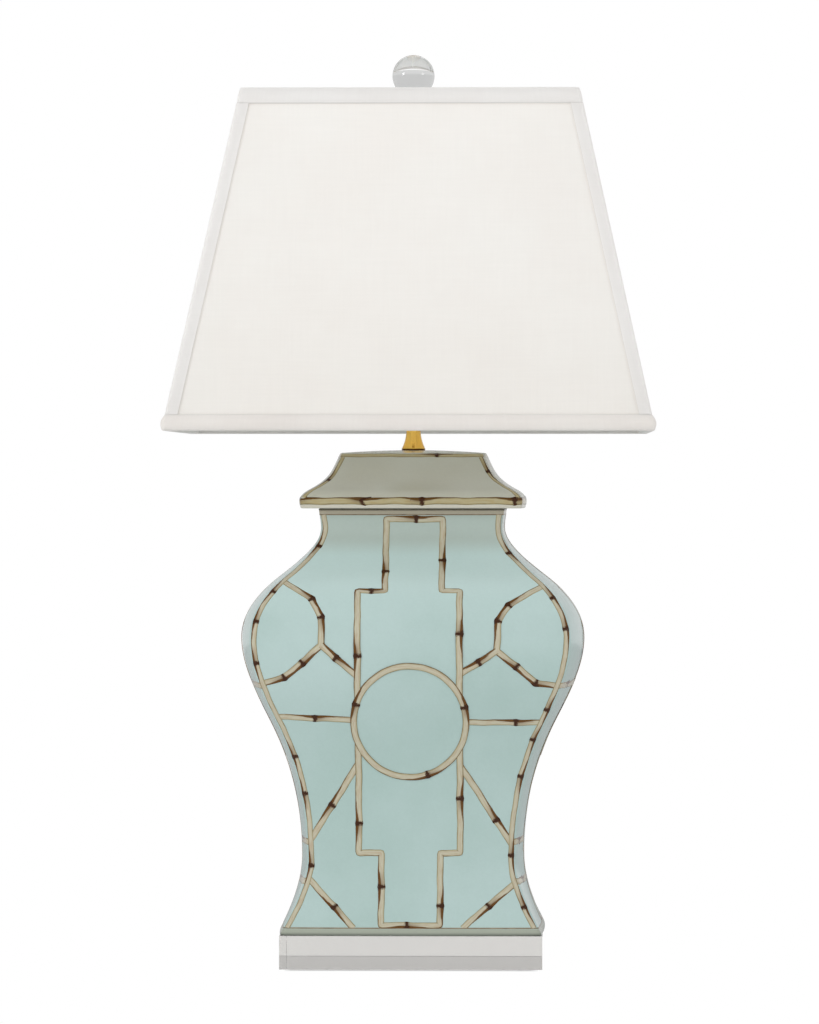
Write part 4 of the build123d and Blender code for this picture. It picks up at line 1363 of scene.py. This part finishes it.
# Painted shadow line along the top tape's lower edge.
edge_shadowed = np.repeat((np.arange(rows) == 0).astype(float), columns)
top_tape = add_piece(
    "top_tape", top_surface, "shade", tape_cloth, ["shade_top_binding"],
    sharp=60, values={"tape_edge_shadow": edge_shadowed})
bottom_surface, _ = hem_tape(hem_low, 1, 2.7)
bottom_tape = add_piece(
    "bottom_tape", bottom_surface, "shade", shaded_hem_cloth,
    ["shade_bottom_binding"], sharp=60)

# %% [markdown]
# ### Corner tapes
# A narrower tape covers each corner seam. It follows the shade's own outline, half a millimetre
# proud of it, and its points carry a value of 1 along both edges, where the cloth's finish paints
# a thin shadow line beside the tape. A texture painted on the panels would not stand out from
# them.

# %% Corner tapes
corner_width = 8.6
corner_end = 14.0  # just under the hem tapes
corner_shares = np.array([0.0, 0.3, 0.6, 0.97, 1.0])


def corner_tape(quarter):
    """Rings up one corner: the outer face follows the outline past the corner by the tape's
    width on each side, and the inner face comes back one thickness inside it."""
    level = np.linspace(hem_low + corner_end, hem_high - corner_end, 60)[:, None]
    lines = []
    for inset in (-0.5, tape_thick):
        half, corner = shade_half(level) - inset, max(shade_corner - inset, 0.6)
        side, bend = outline_lengths(half, nearly_flat, corner)[3:]
        marks = np.hstack([
            side - corner_width * corner_shares[::-1], side + bend * corner_marks[::2],
            side + bend + corner_width * corner_shares])
        x, y = outline_point(half, nearly_flat, corner, marks + quarter * (2 * side + bend))
        lines.append(np.stack([x, y, np.broadcast_to(level, x.shape)], axis=-1))
    rings = np.concatenate([lines[0], lines[1][:, ::-1]], axis=1)
    across = np.cumsum(np.linalg.norm(np.diff(rings[0], axis=0, append=rings[0][:1]), axis=1))
    across = np.concatenate([[0], across])
    uv = np.stack(np.meshgrid(level[:, 0], across, indexing="ij"), axis=-1) * MM
    # Painted shadow line along both edges of the tape.
    edge_shadowed = np.zeros(rings.shape[:2])
    edge_shadowed[:, [0, lines[0].shape[1] - 1]] = 1
    return skin(rings, "poles", uv), np.append(edge_shadowed.ravel(), [0, 0])


corner_surfaces, corner_edge_shadows = zip(*(corner_tape(quarter) for quarter in range(4)))
corner_tapes = add_piece(
    "corner_tapes", joined(corner_surfaces), "shade", tape_cloth,
    ["shade_corner_bindings"], values={"tape_edge_shadow": np.concatenate(corner_edge_shadows)})

# %% [markdown]
# ## Pieces kept from the frame
# Wires, washers, screws and the socket already have the right shape in the frame, so they
# stay and only get a finish of their own. A table of names keeps that in one place.

# %% Finishes of the frame's own pieces
white_enamel = plain_finish(
    "white_enamel", srgb(232, 231, 226), srgb(243, 242, 238), 60.0, (0.25, 0.4), 0.00005)
plated_steel = metal_finish("plated_steel", srgb(178, 178, 176), srgb(206, 205, 202), (0.2, 0.36))
phenolic = plain_finish(
    "black_phenolic", srgb(24, 22, 21), srgb(40, 37, 35), 90.0, (0.3, 0.45), 0.00004)
fibre = plain_finish(
    "fibre_liner", srgb(150, 122, 84), srgb(178, 150, 108), 160.0, (0.7, 0.9), 0.0001)
bushing = plain_finish(
    "bushing_plastic", srgb(214, 206, 186), srgb(226, 219, 202), 140.0, (0.35, 0.5), 0.00004)
kept_finishes = [
    (bushing, ["cord_bushing"]),
    (plated_steel, ["foot_washer", "foot_nut", "lamp_rod", "cap_set_screw", "switch_shaft"]),
    (polished_brass, [
        "harp_saddle", "harp_wire", "harp_stud", "harp_sleeve_front", "harp_sleeve_back",
        "socket_cap", "socket_shell", "terminal_screws", "socket_contact"]),
    (fibre, ["socket_liner"]),
    (phenolic, ["socket_core", "switch_knob"]),
    (aluminium, ["socket_screw_shell"]),
    (white_enamel, ["shade_top_ring", "shade_bottom_ring", "shade_ribs", "shade_spider"]),
]
for finish, node_names in kept_finishes:
    for node_name in node_names:
        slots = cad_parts[node_name].data.materials
        slots.clear()
        slots.append(finish)
print(sum(len(node_names) for finish, node_names in kept_finishes), "frame pieces have a finish")

# %% [markdown]
# ## Floor, light and background
# The lamp was photographed on white, on a floor that is white as well. Under the block the floor
# stays half matte, so that it takes the soft shadow there, and from the block's edge on it is
# plain white for the camera. Light Path tells camera, mirror and glass rays from the rays that
# carry light, so the white floor and background add no light of their own.

# %% Helpers for the set
def staged(name, points, faces, finish):
    """Mesh object that belongs to the set and not to the lamp."""
    mesh = bpy.data.meshes.new(name)
    mesh.from_pydata(points, [], faces)
    mesh.materials.append(finish)
    thing = bpy.data.objects.new(name, mesh)
    bpy.context.scene.collection.objects.link(thing)
    return thing


def emptied(owner):
    """Node tree of a material or a world, without the nodes that it starts with."""
    owner.use_nodes = True
    owner.node_tree.nodes.clear()
    return owner.node_tree


def mix_shaders(tree, factor, first, second, output):
    """Mix of two shader nodes by a factor, linked to a new output node of the given kind."""
    mixed = add_node(tree, "ShaderNodeMixShader")
    for socket, value in zip(mixed.inputs, (factor, first.outputs[0], second.outputs[0])):
        tree.links.new(value, socket)
    tree.links.new(mixed.outputs[0], add_node(tree, output).inputs["Surface"])


def seen_rays(tree):
    """1 for rays from the camera, a mirror or glass, and 0 for the rays that carry light."""
    path = add_node(tree, "ShaderNodeLightPath").outputs
    seen = math_node(tree, "ADD", path["Is Camera Ray"], path["Is Glossy Ray"])
    seen = math_node(tree, "ADD", seen, path["Is Transmission Ray"])
    return math_node(tree, "MINIMUM", seen, 1.0)


# %% Floor
def shadow_distance(tree):
    """How far a floor point lies outside the block: the larger of |x| and |y|, less half of it."""
    across, deep = (math_node(tree, "ABSOLUTE", axis) for axis in axes_of(tree, "Object")[:2])
    return math_node(tree, "SUBTRACT", math_node(tree, "MAXIMUM", across, deep), block_half * MM)


floor_reach = 12.0
floor_finish = bpy.data.materials.new("pale_floor")
tree = emptied(floor_finish)
matte = add_node(tree, "ShaderNodeBsdfDiffuse", {"Color": (0.92, 0.92, 0.92, 1)})
glow = add_node(tree, "ShaderNodeEmission", {"Color": (1, 1, 1, 1), "Strength": 1.0})
far = ramp(tree, shadow_distance(tree), -0.012, -0.003, 0.55, 1.0)
white_share = math_node(tree, "MULTIPLY", far, seen_rays(tree))
mix_shaders(tree, white_share, matte, glow, "ShaderNodeOutputMaterial")
floor_corners = [
    (x * floor_reach, y * floor_reach, 0) for x, y in ((-1, -1), (1, -1), (1, 1), (-1, 1))]
staged("floor", floor_corners, [(0, 1, 2, 3)], floor_finish)
print("floor", floor_reach * 2, "m wide")

# %% [markdown]
# Glossy edges and clear pieces vanish against plain white, so photographers put grey cards
# round the set, outside the picture. Here a ring of card stands round it, palest in front,
# where the lit room behind the camera would be, and a darker one lies behind the lamp. Mirror
# rays meet both, glass rays only the standing one. They are hidden from the camera, and they
# neither light nor shade anything.

# %% Grey cards
card_radius = 6.0
front_tone, card_tone, low_tone, floor_tone = 0.9, 0.58, 0.69, 0.45
card_finish = bpy.data.materials.new("grey_card")
tree = emptied(card_finish)
_, deep, level = axes_of(tree, "Object")
glow = add_node(tree, "ShaderNodeEmission", {"Strength": 1.0})
lying = ramp(tree, level, 0.01, 0.05, floor_tone, low_tone)
standing = mix_colours(tree, ramp(tree, level, 0.55, 1.0), lying, (card_tone,) * 3 + (1,))
front = (front_tone,) * 3 + (1,)
tone = mix_colours(tree, ramp(tree, deep, -5.6, -3.0), front, standing)
tree.links.new(tone, glow.inputs["Color"])
card_output = add_node(tree, "ShaderNodeOutputMaterial")
tree.links.new(glow.outputs[0], card_output.inputs["Surface"])


def grey_card(name, circles, angle):
    """Card between two circles of (radius, height), along the given angles."""
    rows = [
        np.stack([radius * np.cos(angle), radius * np.sin(angle), np.full(len(angle), height)],
                 axis=1)
        for radius, height in circles]
    low = np.arange(len(angle) - 1)
    faces = np.stack([low + 1, low, low + len(angle), low + 1 + len(angle)], axis=1)
    card = staged(name, np.vstack(rows).tolist(), faces.tolist(), card_finish)
    card.visible_camera = False
    card.visible_diffuse = False
    card.visible_shadow = False
    return card


grey_card(
    "standing_card", [(card_radius, -0.5), (card_radius, 6.0)], np.linspace(0, 2 * np.pi, 97))
lying_card = grey_card(
    "lying_card", [(0.3, 0.002), (card_radius, 0.002)], np.linspace(0, np.pi, 49))
lying_card.visible_transmission = False
print("grey card ring at", card_radius, "m")

# %% [markdown]
# Two large soft lamps in front light the lamp evenly, and one behind it lets the cloth glow a
# little. Only two small softboxes at the sides glint in the glaze. The world adds an even light
# from all round, and is plain white to the eye.

# %% World and lamps
world = bpy.data.worlds.new("white_room")
bpy.context.scene.world = world
tree = emptied(world)
ambient = add_node(tree, "ShaderNodeBackground", {"Color": (1, 1, 1, 1), "Strength": 0.75})
white = add_node(tree, "ShaderNodeBackground", {"Color": (1, 1, 1, 1), "Strength": 1.0})
mix_shaders(tree, seen_rays(tree), ambient, white, "ShaderNodeOutputWorld")
lamp_aim = np.array([0, 0, 0.4])


def soft_lamp(name, place, size, watts, mirrored):
    """Square area lamp at a place, turned to face the aim; mirrored tells whether it glints.
    Nobody sees a lamp through the clear pieces."""
    light = bpy.data.lights.new(name, "AREA")
    light.energy = watts
    light.size = size
    lamp = bpy.data.objects.new(name, light)
    lamp.visible_glossy = mirrored
    lamp.visible_transmission = False
    lamp.location = place
    toward = lamp_aim - np.array(place)
    tilt = np.arccos(-toward[2] / np.linalg.norm(toward))
    lamp.rotation_euler = (tilt, 0, np.arctan2(toward[1], toward[0]) - np.pi / 2)
    bpy.context.scene.collection.objects.link(lamp)
    print(name, watts, "W")


soft_lamp("key_lamp", (-1.7, -4.2, 1.2), 3.6, 33, False)
soft_lamp("fill_lamp", (2.3, -4.0, 1.0), 3.6, 12, False)
soft_lamp("left_softbox", (-3.4, -2.4, 1.4), 0.8, 18, True)
soft_lamp("right_softbox", (3.4, -2.4, 1.4), 0.8, 8, True)
soft_lamp("back_lamp", (0.6, 4.4, 1.6), 3.6, 24, False)
bpy.context.scene.view_settings.view_transform = "Standard"
